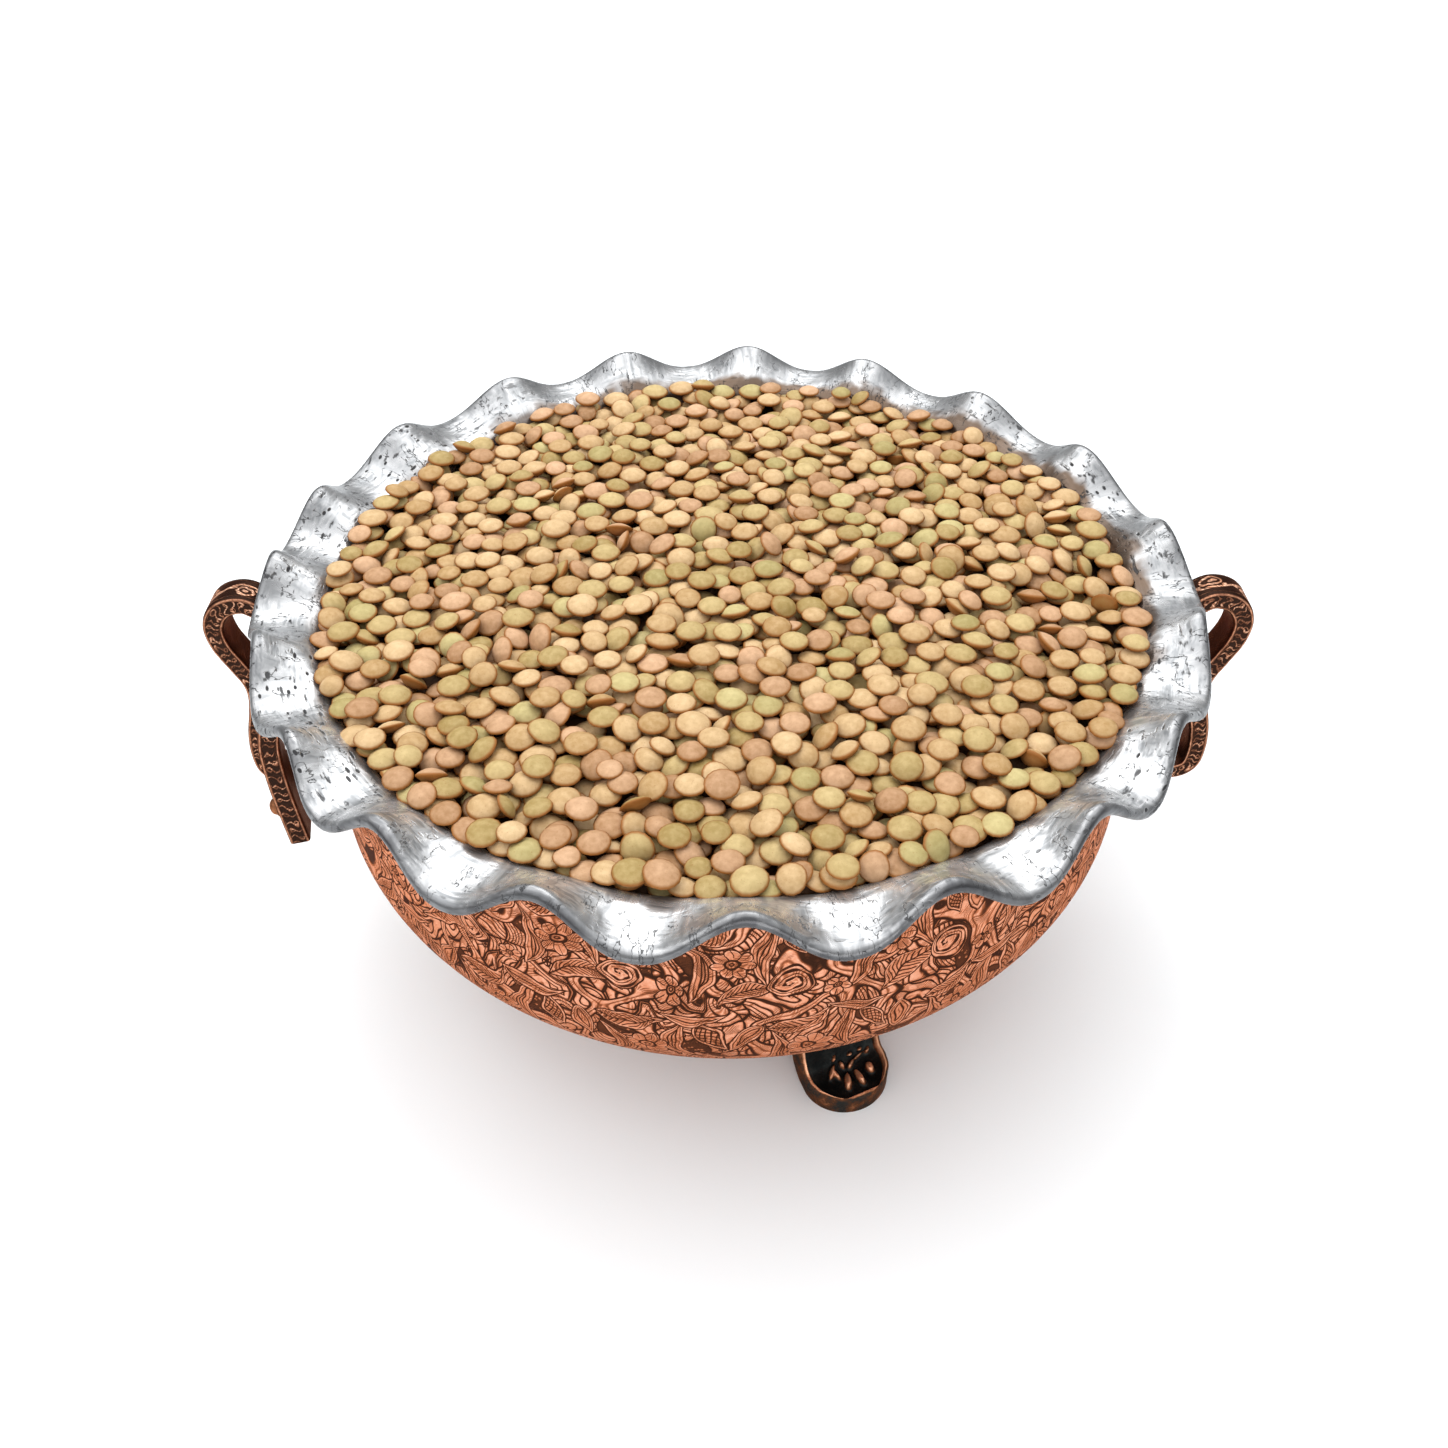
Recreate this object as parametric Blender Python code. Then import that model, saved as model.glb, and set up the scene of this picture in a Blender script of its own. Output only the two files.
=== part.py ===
"""A footed copper bowl with a ruffled rim, two strap handles and a heap of dry lentils.

The origin is on the floor under the bowl's middle, +X runs from handle to handle and +Z is up.
Copper sheet, straps and cast feet are each their own solid, with a fine gap where they touch.
"""

import math
import random

import bmesh
import bpy
from mathutils import Matrix, Vector

MM = 0.001

# Bowl: the sheet's outer face is half an ellipsoid with an almost upright neck above it
BELLY_RADIUS = 93.6 * MM
BELLY_HEIGHT = 66.7 * MM
BELLY_DEPTH = 48.9 * MM
NECK_RADIUS = 91.8 * MM
NECK_HEIGHT = 100.0 * MM
SHEET = 2.2 * MM

# Rim: the lip's middle line hangs level in the troughs and climbs at the crests
TROUGH_RADIUS = 105.0 * MM
TROUGH_HEIGHT = 105.0 * MM
CREST_RADIUS = 102.0 * MM
CREST_HEIGHT = 112.6 * MM
CREST_SHARPNESS = 1.15
FIRST_CREST = -88.5
# Degrees from each crest to the next: they were pinched by hand, so they are uneven
CREST_GAPS = (20, 19, 17.5, 20, 19, 20.5, 20.5, 20, 19, 19.5, 19.5, 20, 18.5, 15, 16.5, 18.5, 17.5, 19, 20.5)
LIP_RADIUS = 1.5 * MM
STEPS_PER_CREST = 8
# The rim isn't quite round: it is pushed in here, by this much, over about this many degrees
PUSHED_ANGLE = 42
PUSHED_IN = 2.0 * MM
PUSHED_SPREAD = 38
# The flange's curve: how far it climbs the neck, how far it runs in from the lip, and its two slopes there
NECK_CLIMB = 5.8 * MM
LIP_RUN = 10.0 * MM
TROUGH_SLOPE = -2.0
CREST_SLOPE = 38.0
FLANGE_STEPS = (0, 0.3, 0.6, 1)

# Straps: the handles and the hanging tail beside the left one are bent from one flat bar
STRAP_WIDTH = 8.0 * MM
STRAP_THICKNESS = 4.8 * MM
STRAP_CHAMFER = 0.7 * MM
GAP = 0.4 * MM
HANDLE_ANGLES = {"handle_right": 1.0, "handle_left": 180.0}
# Radius and height of the handle's middle line, in millimetres, from under the rim to the belly
HANDLE_ROUTE = (
    (90.5, 98.0), (100, 98.9), (106, 100.2), (111, 102.8), (116, 101.4), (118.9, 96.8), (118.7, 91),
    (116.3, 85), (114.2, 80), (113.8, 75.5), (115, 69.5), (116.9, 62.5), (117.7, 56), (117.0, 50.6),
    (113.2, 48.4), (106, 49.6), (98, 50.6), (86.5, 50.8),
)
TAIL_ANGLE = 191.5
TAIL_ROUTE = ((90.5, 94.2), (100, 91.5), (105, 86.5), (107.6, 79), (108.2, 68), (107.9, 57), (107.4, 47.2))
RIVET_HEIGHT = 56.8 * MM
RIVET_RADIUS = 2.7 * MM

# Feet: three shell-shaped paws, each a dished tongue that stands on its toe
FOOT_ANGLES = (-64.8, 55.2, 175.2)
FOOT_HALF_WIDTH = 10.8 * MM
FOOT_WALL = 3.2 * MM
FOOT_RIM = 2.6 * MM
# Radius and height of the foot's underside along its middle, from the toe to the bowl
FOOT_ROUTE = ((76.6, 0), (72, 0), (67, 0), (62.4, 1.6), (59.2, 6), (57.4, 12), (56.6, 19), (56.0, 27.2))
FOOT_TOE_LENGTH = 10.0 * MM

# Lentils: a core up to just under the grains, and grains fused on it
HEAP_EDGE_HEIGHT = 104.6 * MM
HEAP_MIDDLE_HEIGHT = 108.4 * MM
HEAP_CLEARANCE = 0.5 * MM
LENTIL_RADIUS = 3.15 * MM
LENTIL_THICKNESS = 2.7 * MM
LENTIL_SIDES = 6
LENTIL_COUNT = 228
LENTIL_FIELD = 86.0 * MM
# How far a grain's middle stands above the core, and how far it leans, in degrees
LENTIL_RAISED = (0.3 * MM, 0.7 * MM)
MOST_TILT = 24
SEED = 7

COLOURS = {
    "copper": ((0.72, 0.33, 0.20), 0.38, 1.0),
    "tin": ((0.80, 0.81, 0.83), 0.28, 1.0),
    "lentil_skin": ((0.56, 0.42, 0.24), 0.75, 0.0),
}


def clear_scene():
    for obj in list(bpy.data.objects):
        bpy.data.objects.remove(obj, do_unlink=True)


def material(name):
    """The named finish, made once."""
    if name in bpy.data.materials:
        return bpy.data.materials[name]
    colour, roughness, metallic = COLOURS[name]
    made = bpy.data.materials.new(name)
    made.use_nodes = True
    shader = made.node_tree.nodes["Principled BSDF"]
    shader.inputs["Base Color"].default_value = (*colour, 1)
    shader.inputs["Roughness"].default_value = roughness
    shader.inputs["Metallic"].default_value = metallic
    return made


def add_object(name, bm, *finishes, smooth_angle=40):
    """A scene object from a bmesh, facing out, smooth except at its sharp edges."""
    bmesh.ops.recalc_face_normals(bm, faces=bm.faces)
    mesh = bpy.data.meshes.new(name)
    bm.to_mesh(mesh)
    bm.free()
    mesh.shade_smooth()
    mesh.set_sharp_from_angle(angle=math.radians(smooth_angle))
    for finish in finishes:
        mesh.materials.append(material(finish))
    obj = bpy.data.objects.new(name, mesh)
    bpy.context.scene.collection.objects.link(obj)
    return obj


def smooth_route(points, steps):
    """Points of a Catmull-Rom curve through the route, as (radius, height) in metres."""
    route = [Vector(point) * MM for point in points]
    ends = [2 * route[0] - route[1], *route, 2 * route[-1] - route[-2]]
    curve = []
    for before, start, end, after in zip(ends, ends[1:], ends[2:], ends[3:]):
        for step in range(steps):
            t = step / steps
            curve.append(0.5 * (
                2 * start + (end - before) * t
                + (2 * before - 5 * start + 4 * end - after) * t ** 2
                + (3 * start - before - 3 * end + after) * t ** 3
            ))
    return curve + [route[-1]]


def polar(radius, angle, height):
    return Vector((radius * math.cos(angle), radius * math.sin(angle), height))


def stitch(bm, lower, upper):
    """Faces between two rings of one length, or from a ring to one with half as many points."""
    count = len(lower)
    if len(upper) == count:
        for i in range(count):
            j = (i + 1) % count
            bm.faces.new((lower[i], lower[j], upper[j], upper[i]))
        return
    for i in range(len(upper)):
        j = (i + 1) % len(upper)
        middle = lower[2 * i + 1]
        bm.faces.new((lower[2 * i], middle, upper[i]))
        bm.faces.new((middle, upper[j], upper[i]))
        bm.faces.new((middle, lower[(2 * i + 2) % count], upper[j]))


def rim_angles():
    """The angles of the rim's steps, in radians, a fixed number for each crest."""
    angles = []
    crest = FIRST_CREST
    for gap in CREST_GAPS:
        for step in range(STEPS_PER_CREST):
            angles.append(math.radians(crest + gap * step / STEPS_PER_CREST))
        crest += gap
    return angles


def crest_share(index):
    """How far rim step number index is up its crest, from 0 in a trough to 1."""
    phase = 2 * math.pi * index / STEPS_PER_CREST
    return ((1 + math.cos(phase)) / 2) ** CREST_SHARPNESS


def pushed_in(angle):
    """How far the lip is pushed towards the middle at this angle in radians."""
    away = (math.degrees(angle) - PUSHED_ANGLE + 180) % 360 - 180
    return PUSHED_IN * math.exp(-(away / PUSHED_SPREAD) ** 2)


def flange_line(lift, angle):
    """The sheet's middle line from neck to lip at this share of a crest: (point, normal, direction) rows."""
    start = Vector((NECK_RADIUS - SHEET / 2, NECK_HEIGHT))
    lip = Vector((
        TROUGH_RADIUS + (CREST_RADIUS - TROUGH_RADIUS) * lift - pushed_in(angle),
        TROUGH_HEIGHT + (CREST_HEIGHT - TROUGH_HEIGHT) * lift,
    ))
    outward = math.radians(TROUGH_SLOPE + (CREST_SLOPE - TROUGH_SLOPE) * lift)
    first = start + Vector((0, NECK_CLIMB))
    second = lip - Vector((math.cos(outward), math.sin(outward))) * LIP_RUN
    line = []
    for t in FLANGE_STEPS:
        point = (
            start * (1 - t) ** 3 + first * 3 * t * (1 - t) ** 2
            + second * 3 * t ** 2 * (1 - t) + lip * t ** 3
        )
        along = (
            (first - start) * (1 - t) ** 2 + (second - first) * 2 * t * (1 - t) + (lip - second) * t ** 2
        ).normalized()
        line.append((point, Vector((-along.y, along.x)), along))
    return line


def belly_point(share, inset=0.0):
    """(radius, height) on the belly, from 0 at the widest ring to 1 at the bottom, moved in by inset."""
    angle = share * math.pi / 2
    return (
        (BELLY_RADIUS - inset) * math.cos(angle),
        BELLY_HEIGHT - (BELLY_DEPTH - inset) * math.sin(angle),
    )


def make_bowl():
    bm = bmesh.new()
    fine = rim_angles()

    def ring(angles, points):
        return [bm.verts.new(polar(r, angle, z)) for angle, (r, z) in zip(angles, points)]

    lines = [flange_line(crest_share(i), angle) for i, angle in enumerate(fine)]
    outside = []
    inside = []
    for row in range(len(lines[0])):
        thickness = LIP_RADIUS if row == len(lines[0]) - 1 else SHEET / 2
        outside.append(ring(fine, [line[row][0] - line[row][1] * thickness for line in lines]))
        inside.append(ring(fine, [line[row][0] + line[row][1] * thickness for line in lines]))
    lip = ring(fine, [line[-1][0] + line[-1][2] * LIP_RADIUS for line in lines])
    around = [*outside, lip, *reversed(inside)]
    for lower, upper in zip(around, around[1:]):
        stitch(bm, lower, upper)

    # Each row is (how far down the belly, how many rim steps it skips): few steps where lentils hide it
    for top, inset, rows in (
        (outside[0], 0.0, ((0, 2), (0.2, 2), (0.38, 2), (0.55, 2), (0.7, 2), (0.85, 2))),
        (inside[0], SHEET, ((0, 2), (0.3, 4), (0.6, 4), (0.85, 4))),
    ):
        above = top
        for share, skip in rows:
            angles = fine[::skip]
            below = ring(angles, [belly_point(share, inset)] * len(angles))
            stitch(bm, above, below)
            above = below
        pole = bm.verts.new(polar(0, 0, belly_point(1, inset)[1]))
        for i in range(len(above)):
            bm.faces.new((above[i], above[(i + 1) % len(above)], pole))

    bowl = add_object("bowl", bm, "copper", "tin")
    for face in bowl.data.polygons:
        out = Vector((face.center.x, face.center.y, 0)).normalized()
        tinned = face.normal.dot(out) < 0 or face.normal.z > 0.3
        face.material_index = int(tinned)


def wall_radius(height):
    """Radius of the bowl's outer face at this height, below the flange."""
    if height > BELLY_HEIGHT:
        share = (height - BELLY_HEIGHT) / (NECK_HEIGHT - BELLY_HEIGHT)
        return BELLY_RADIUS + (NECK_RADIUS - BELLY_RADIUS) * share
    return BELLY_RADIUS * math.sqrt(1 - ((BELLY_HEIGHT - height) / BELLY_DEPTH) ** 2)


def make_strap(bm, route, angle, steps):
    """A flat bar along the route, in the upright plane at this angle. Its ends fit the bowl's wall."""
    centre = smooth_route(route, steps)
    half_t = STRAP_THICKNESS / 2
    half_w = STRAP_WIDTH / 2
    cut = STRAP_CHAMFER
    section = [
        (half_t, half_w - cut), (half_t - cut, half_w), (cut - half_t, half_w), (-half_t, half_w - cut),
        (-half_t, cut - half_w), (cut - half_t, -half_w), (half_t - cut, -half_w), (half_t, cut - half_w),
    ]
    turn = Matrix.Rotation(math.radians(angle), 3, "Z")
    rings = []
    for i, here in enumerate(centre):
        along = (centre[min(i + 1, len(centre) - 1)] - centre[max(i - 1, 0)]).normalized()
        across = Vector((-along.y, along.x))
        ring = []
        for t, w in section:
            height = here.y + across.y * t
            radius = max(here.x + across.x * t, wall_radius(height) + GAP)
            ring.append(bm.verts.new(turn @ Vector((radius, w, height))))
        rings.append(ring)
    for lower, upper in zip(rings, rings[1:]):
        stitch(bm, lower, upper)
    bm.faces.new(rings[0])
    bm.faces.new(rings[-1])


def make_handles():
    for name, angle in HANDLE_ANGLES.items():
        bm = bmesh.new()
        make_strap(bm, HANDLE_ROUTE, angle, 2)
        add_object(name, bm, "copper")


def join(target, others, solver="EXACT"):
    """Fuses the other objects into the target with one Boolean union, and removes them."""
    group = bpy.data.collections.new(target.name + "_pieces")
    bpy.context.scene.collection.children.link(group)
    for other in others:
        bpy.context.scene.collection.objects.unlink(other)
        group.objects.link(other)
    union = target.modifiers.new("fuse", "BOOLEAN")
    union.operation = "UNION"
    union.operand_type = "COLLECTION"
    union.collection = group
    union.solver = solver
    bpy.context.view_layer.update()
    graph = bpy.context.evaluated_depsgraph_get()
    fused = bpy.data.meshes.new_from_object(target.evaluated_get(graph))
    target.modifiers.clear()
    target.data = fused
    fused.name = target.name
    for other in others:
        bpy.data.objects.remove(other, do_unlink=True)
    bpy.data.collections.remove(group)


def make_tail():
    bm = bmesh.new()
    make_strap(bm, TAIL_ROUTE, TAIL_ANGLE, 3)
    tail = add_object("tail_left", bm, "copper")
    head = bmesh.new()
    bmesh.ops.create_uvsphere(head, u_segments=10, v_segments=6, radius=RIVET_RADIUS)
    outer_face = max(r for r, z in TAIL_ROUTE) * MM + STRAP_THICKNESS / 2
    seat = polar(outer_face - RIVET_RADIUS * 0.2, math.radians(TAIL_ANGLE), RIVET_HEIGHT)
    bmesh.ops.translate(head, verts=head.verts, vec=seat)
    join(tail, [add_object("rivet", head, "copper")])


def foot_half_width(travelled):
    """Half the tongue's width at this distance from the tip of the toe: round, then almost straight."""
    if travelled < FOOT_TOE_LENGTH:
        return FOOT_HALF_WIDTH * math.sqrt(1 - (1 - travelled / FOOT_TOE_LENGTH) ** 2)
    return FOOT_HALF_WIDTH


def foot_rim_height(side, travelled):
    """How much the dished face stands above its floor: nothing in the middle, all of it at the edge."""
    edge = 1 if abs(side) > 0.72 else (abs(side) / 0.72) ** 2 * 0.3
    toe = max(0.0, 1 - travelled / (0.3 * FOOT_TOE_LENGTH))
    return FOOT_RIM * max(edge, toe)


def underside_of_bowl(radius):
    """Height of the bowl's outer face over this radius."""
    return BELLY_HEIGHT - BELLY_DEPTH * math.sqrt(1 - (radius / BELLY_RADIUS) ** 2)


def make_feet():
    sides = (-1, -0.74, -0.7, -0.3, 0.3, 0.7, 0.74, 1)
    for number, angle in enumerate(FOOT_ANGLES, 1):
        bm = bmesh.new()
        turn = Matrix.Rotation(math.radians(angle), 3, "Z")
        route = smooth_route(FOOT_ROUTE, 2)
        travelled = 0.0
        rings = []
        for i, here in enumerate(route):
            travelled += (here - route[max(i - 1, 0)]).length
            reach = max(travelled, 0.5 * MM)
            along = (route[min(i + 1, len(route) - 1)] - route[max(i - 1, 0)]).normalized()
            across = Vector((-along.y, along.x)) * (1 if along.x > 0 else -1)
            half = foot_half_width(reach)
            under = []
            over = []
            for side in sides:
                lift = FOOT_WALL + foot_rim_height(side, reach)
                low = Vector((here.x, half * side, max(0.0, here.y)))
                high = Vector((here.x + abs(across.x) * lift, half * side, here.y + abs(across.y) * lift))
                for point in (low, high):
                    limit = underside_of_bowl(Vector((point.x, point.y)).length) - GAP
                    point.z = min(point.z, limit)
                under.append(bm.verts.new(turn @ low))
                over.append(bm.verts.new(turn @ high))
            rings.append(under + over[::-1])
        for lower, upper in zip(rings, rings[1:]):
            stitch(bm, lower, upper)
        bm.faces.new(rings[0])
        bm.faces.new(rings[-1])
        add_object(f"foot_{number}", bm, "copper", smooth_angle=50)


def heap_height(radius):
    """Height of the core's top: a low dome."""
    share = min(1.0, radius / LENTIL_FIELD)
    return HEAP_MIDDLE_HEIGHT + (HEAP_EDGE_HEIGHT - HEAP_MIDDLE_HEIGHT) * share ** 2


def make_core():
    """What fills the bowl under the grains, clear of the sheet."""
    bm = bmesh.new()
    segments = 40
    inset = SHEET + HEAP_CLEARANCE
    outline = [belly_point(share, inset) for share in (0.85, 0.6, 0.3, 0)]
    wall = NECK_RADIUS - inset
    outline += [(wall, NECK_HEIGHT - 2 * MM), (wall, HEAP_EDGE_HEIGHT - 1.5 * MM)]
    outline += [(r * MM, heap_height(r * MM)) for r in (86.5, 64, 34)]
    rings = []
    for r, z in outline:
        rings.append([
            bm.verts.new(polar(r, 2 * math.pi * i / segments, z)) for i in range(segments)
        ])
    for lower, upper in zip(rings, rings[1:]):
        stitch(bm, lower, upper)
    for ring, z in ((rings[0], belly_point(1, inset)[1]), (rings[-1], heap_height(0))):
        pole = bm.verts.new((0, 0, z))
        for i in range(segments):
            bm.faces.new((ring[i], ring[(i + 1) % segments], pole))
    return add_object("lentils", bm, "lentil_skin")


def lentil_shape(sides):
    """One lens lying flat at the origin: two low cones, rim to rim."""
    bm = bmesh.new()
    rim = [
        bm.verts.new(polar(LENTIL_RADIUS, 2 * math.pi * i / sides, 0)) for i in range(sides)
    ]
    for height in (LENTIL_THICKNESS / 2, -LENTIL_THICKNESS / 2):
        middle = bm.verts.new((0, 0, height))
        for i in range(sides):
            bm.faces.new((rim[i], rim[(i + 1) % sides], middle))
    bmesh.ops.recalc_face_normals(bm, faces=bm.faces)
    mesh = bpy.data.meshes.new("grain")
    bm.to_mesh(mesh)
    bm.free()
    mesh.materials.append(material("lentil_skin"))
    return mesh


def make_lentils():
    """Grains on a sunflower spiral, so that they are spread evenly, each tilted and sized its own way."""
    draw = random.Random(SEED)
    core = make_core()
    mesh = lentil_shape(LENTIL_SIDES)
    golden_angle = math.pi * (3 - math.sqrt(5))
    grains = []
    for number in range(LENTIL_COUNT):
        radius = LENTIL_FIELD * math.sqrt((number + 0.5) / LENTIL_COUNT) - draw.uniform(0, 1.2) * MM
        raised = heap_height(radius) + draw.uniform(*LENTIL_RAISED)
        tilt = Matrix.Rotation(math.radians(draw.triangular(-MOST_TILT, MOST_TILT, 0)), 4, "X")
        turn = Matrix.Rotation(draw.uniform(0, 2 * math.pi), 4, "Z")
        scale = Matrix.Diagonal((draw.uniform(0.9, 1.08), draw.uniform(0.88, 1.05), 1, 1))
        grain = bpy.data.objects.new(f"grain_{number}", mesh)
        place = Matrix.Translation(polar(radius, number * golden_angle, raised))
        grain.matrix_world = place @ turn @ tilt @ scale
        bpy.context.scene.collection.objects.link(grain)
        grains.append(grain)
    join(core, grains, solver="MANIFOLD")


clear_scene()
make_bowl()
make_handles()
make_tail()
make_feet()
make_lentils()
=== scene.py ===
# %% [markdown]
# Lesson: a bowl of dry lentils. The bowl is beaten copper, tinned inside, engraved outside, with
# a ruffled rim, two strap handles and three small feet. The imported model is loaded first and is
# never moved: every piece made here is built around it, in the same metres and the same place.

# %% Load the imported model
import math

import bpy
import numpy as np
from mathutils import Matrix, Vector


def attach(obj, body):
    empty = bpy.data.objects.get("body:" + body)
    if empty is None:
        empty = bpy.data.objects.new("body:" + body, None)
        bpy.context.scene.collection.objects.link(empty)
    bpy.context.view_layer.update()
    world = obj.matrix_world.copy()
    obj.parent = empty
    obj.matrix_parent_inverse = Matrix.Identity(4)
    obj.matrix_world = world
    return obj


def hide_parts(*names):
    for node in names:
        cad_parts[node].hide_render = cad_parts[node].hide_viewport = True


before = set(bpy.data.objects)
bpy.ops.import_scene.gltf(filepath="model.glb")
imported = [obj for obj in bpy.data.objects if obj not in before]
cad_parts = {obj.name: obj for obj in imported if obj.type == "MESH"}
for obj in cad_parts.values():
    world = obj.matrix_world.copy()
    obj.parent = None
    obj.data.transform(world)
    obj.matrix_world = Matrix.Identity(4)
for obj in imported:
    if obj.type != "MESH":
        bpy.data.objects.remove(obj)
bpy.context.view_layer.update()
print("model loaded:", ", ".join(sorted(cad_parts)))

# %% [markdown]
# The camera comes before any looks. The photograph looks down on the bowl at about 42 degrees
# from a short distance, so the near side is larger than the far side. The place below was worked
# out from the ellipse of the rim, in units of the rim's radius, and is kept as real sizes here.

# %% Camera
MM = 0.001
CAMERA_PLACE = Vector((0.0, -240.0, 282.6)) * MM
CAMERA_PITCH = 42.43
FOCAL_LENGTH = 32.4
SENSOR = 36.0
# In pixels: the photograph's width, and how far right of its middle the bowl's axis stands
PHOTO_WIDTH = 1448
AXIS_RIGHT_OF_MIDDLE = 5.5


def put_in_scene(name, data):
    """A new object that holds this data, linked to the scene."""
    thing = bpy.data.objects.new(name, data)
    bpy.context.scene.collection.objects.link(thing)
    return thing


camera_data = bpy.data.cameras.new("camera")
camera_data.lens = FOCAL_LENGTH
camera_data.sensor_width = SENSOR
camera_data.shift_x = -AXIS_RIGHT_OF_MIDDLE / PHOTO_WIDTH
camera = put_in_scene("camera", camera_data)
camera.location = CAMERA_PLACE
camera.rotation_euler = (math.radians(90 - CAMERA_PITCH), 0, 0)
bpy.context.scene.camera = camera
bpy.context.scene.view_settings.view_transform = "Standard"
print("camera", round(CAMERA_PLACE.length * 1000), "mm from the foot of the bowl")

# %% [markdown]
# A bright, plain studio: a white floor under a wide white ceiling of light, and walls that are
# darker, most of all at the height of the eyes. Tin is nearly a mirror, so what it shows is the
# room: its troughs face the ceiling and look white, and the flanks of its crests look grey.

# %% Floor, surroundings and lamps
FLOOR_SIZE = 30.0
FLOOR_WHITE = (0.955, 0.98, 0.99, 1)
ROOM_LIGHT = 1.2
# How bright the room is by the upward part of a direction: low wall, dark wall, ceiling
ROOM_BANDS = ((0.0, (0.42,) * 3), (0.22, (0.30,) * 3), (0.42, (0.30,) * 3), (0.66, (0.97, 0.985, 1.0)))
# Each lamp: name, power in watts, size in metres, place, and the point that it faces
LAMPS = (
    ("overhead", 5.2, 1.2, (0.0, 0.30, 0.95), (0, 0.03, 0.1)),
    ("back_glow", 0.45, 0.35, (0.0, 0.30, 0.42), (0, 0.07, 0.1)),
    ("left_window", 4.6, 1.2, (-0.7, -0.25, 0.9), (0, 0, 0.08)),
    ("front_fill", 2.2, 0.5, (0.15, -0.9, 0.22), (0, 0, 0.05)),
)


def add_floor():
    half = FLOOR_SIZE / 2
    mesh = bpy.data.meshes.new("floor")
    corners = [(-half, -half, 0), (half, -half, 0), (half, half, 0), (-half, half, 0)]
    mesh.from_pydata(corners, [], [(0, 1, 2, 3)])
    floor = put_in_scene("floor", mesh)
    paint = bpy.data.materials.new("floor_paint")
    paint.use_nodes = True
    shader = paint.node_tree.nodes["Principled BSDF"]
    shader.inputs["Base Color"].default_value = FLOOR_WHITE
    shader.inputs["Roughness"].default_value = 0.9
    shader.inputs["Specular IOR Level"].default_value = 0.1
    mesh.materials.append(paint)


def add_lamps():
    for name, power, size, place, target in LAMPS:
        lamp_data = bpy.data.lights.new(name, "AREA")
        lamp_data.energy = power
        lamp_data.size = size
        lamp = put_in_scene(name, lamp_data)
        lamp.location = place
        lamp.rotation_euler = (Vector(place) - Vector(target)).to_track_quat("Z", "Y").to_euler()


def set_stops(ramp, stops):
    """Gives a strip of colours these stops: (position, (red, green, blue))."""
    while len(ramp.elements) < len(stops):
        ramp.elements.new(0.5)
    for element, (position, colour) in zip(ramp.elements, stops):
        element.position = position
        element.color = (*colour, 1)


def add_room():
    world = bpy.data.worlds.new("room")
    world.use_nodes = True
    tree = world.node_tree
    direction = tree.nodes.new("ShaderNodeTexCoord")
    split = tree.nodes.new("ShaderNodeSeparateXYZ")
    light = tree.nodes.new("ShaderNodeValToRGB")
    light.color_ramp.interpolation = "EASE"
    set_stops(light.color_ramp, ROOM_BANDS)
    tree.links.new(direction.outputs["Generated"], split.inputs[0])
    tree.links.new(split.outputs["Z"], light.inputs[0])
    tree.links.new(light.outputs["Color"], tree.nodes["Background"].inputs["Color"])
    tree.nodes["Background"].inputs["Strength"].default_value = ROOM_LIGHT
    bpy.context.scene.world = world


add_room()
add_floor()
add_lamps()
print(len(LAMPS), "lamps")

# %% [markdown]
# The bowl's sizes. The sheet is half an ellipsoid with an almost upright neck, and the rim is a
# ruffle: its lip lies level in the troughs and climbs at nineteen crests, pinched by hand and so
# uneven. One function gives how far a place on the rim is up its crest, and all else follows it.

# %% Bowl sizes and the ruffle's rule
BELLY_RADIUS = 93.6 * MM
BELLY_HEIGHT = 66.7 * MM
BELLY_DEPTH = 48.9 * MM
NECK_RADIUS = 91.8 * MM
NECK_HEIGHT = 100.0 * MM
SHEET = 2.2 * MM
TROUGH = Vector((105.0, 105.0)) * MM
CREST = Vector((102.0, 112.6)) * MM
LIP_RADIUS = 1.5 * MM
CREST_SHARPNESS = 1.15
FIRST_CREST = -88.5
CREST_GAPS = (20, 19, 17.5, 20, 19, 20.5, 20.5, 20, 19, 19.5, 19.5, 20, 18.5, 15, 16.5, 18.5, 17.5, 19, 20.5)
STEPS_PER_CREST = 24

crest_angles = FIRST_CREST + np.concatenate(([0], np.cumsum(CREST_GAPS)))
rim_angles = np.concatenate([
    np.linspace(start, end, STEPS_PER_CREST, endpoint=False)
    for start, end in zip(crest_angles, crest_angles[1:])
])
rim_angles = np.sort((rim_angles + 180.6) % 360 - 180.6)


def crest_share(angle):
    """How far the rim is up its crest at this angle in degrees: 0 in a trough, 1 on a crest."""
    turned = (np.asarray(angle) - FIRST_CREST) % 360 + FIRST_CREST
    phase = np.interp(turned, crest_angles, np.arange(len(crest_angles)))
    return ((1 + np.cos(2 * math.pi * phase)) / 2) ** CREST_SHARPNESS


print(len(CREST_GAPS), "crests,", len(rim_angles), "steps round the rim")

# %% [markdown]
# The flange's middle line, from the neck out to the lip, is one cubic curve. In a trough it bends
# out level; on a crest it climbs. The sheet has a face on both sides of that line, and the lip is
# a round bead, thicker than the sheet, as it is where a coppersmith folds the edge over.

# %% Flange curve and belly profile
TROUGH_SLOPE = -2.0
CREST_SLOPE = 38.0
NECK_CLIMB = 5.8 * MM
LIP_RUN = 10.0 * MM
BEAD_STARTS = 0.78
# The rim isn't quite round: it is pushed in here, by this much, over about this many degrees
PUSHED_ANGLE = 42
PUSHED_IN = 2.0 * MM
PUSHED_SPREAD = 38


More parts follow.
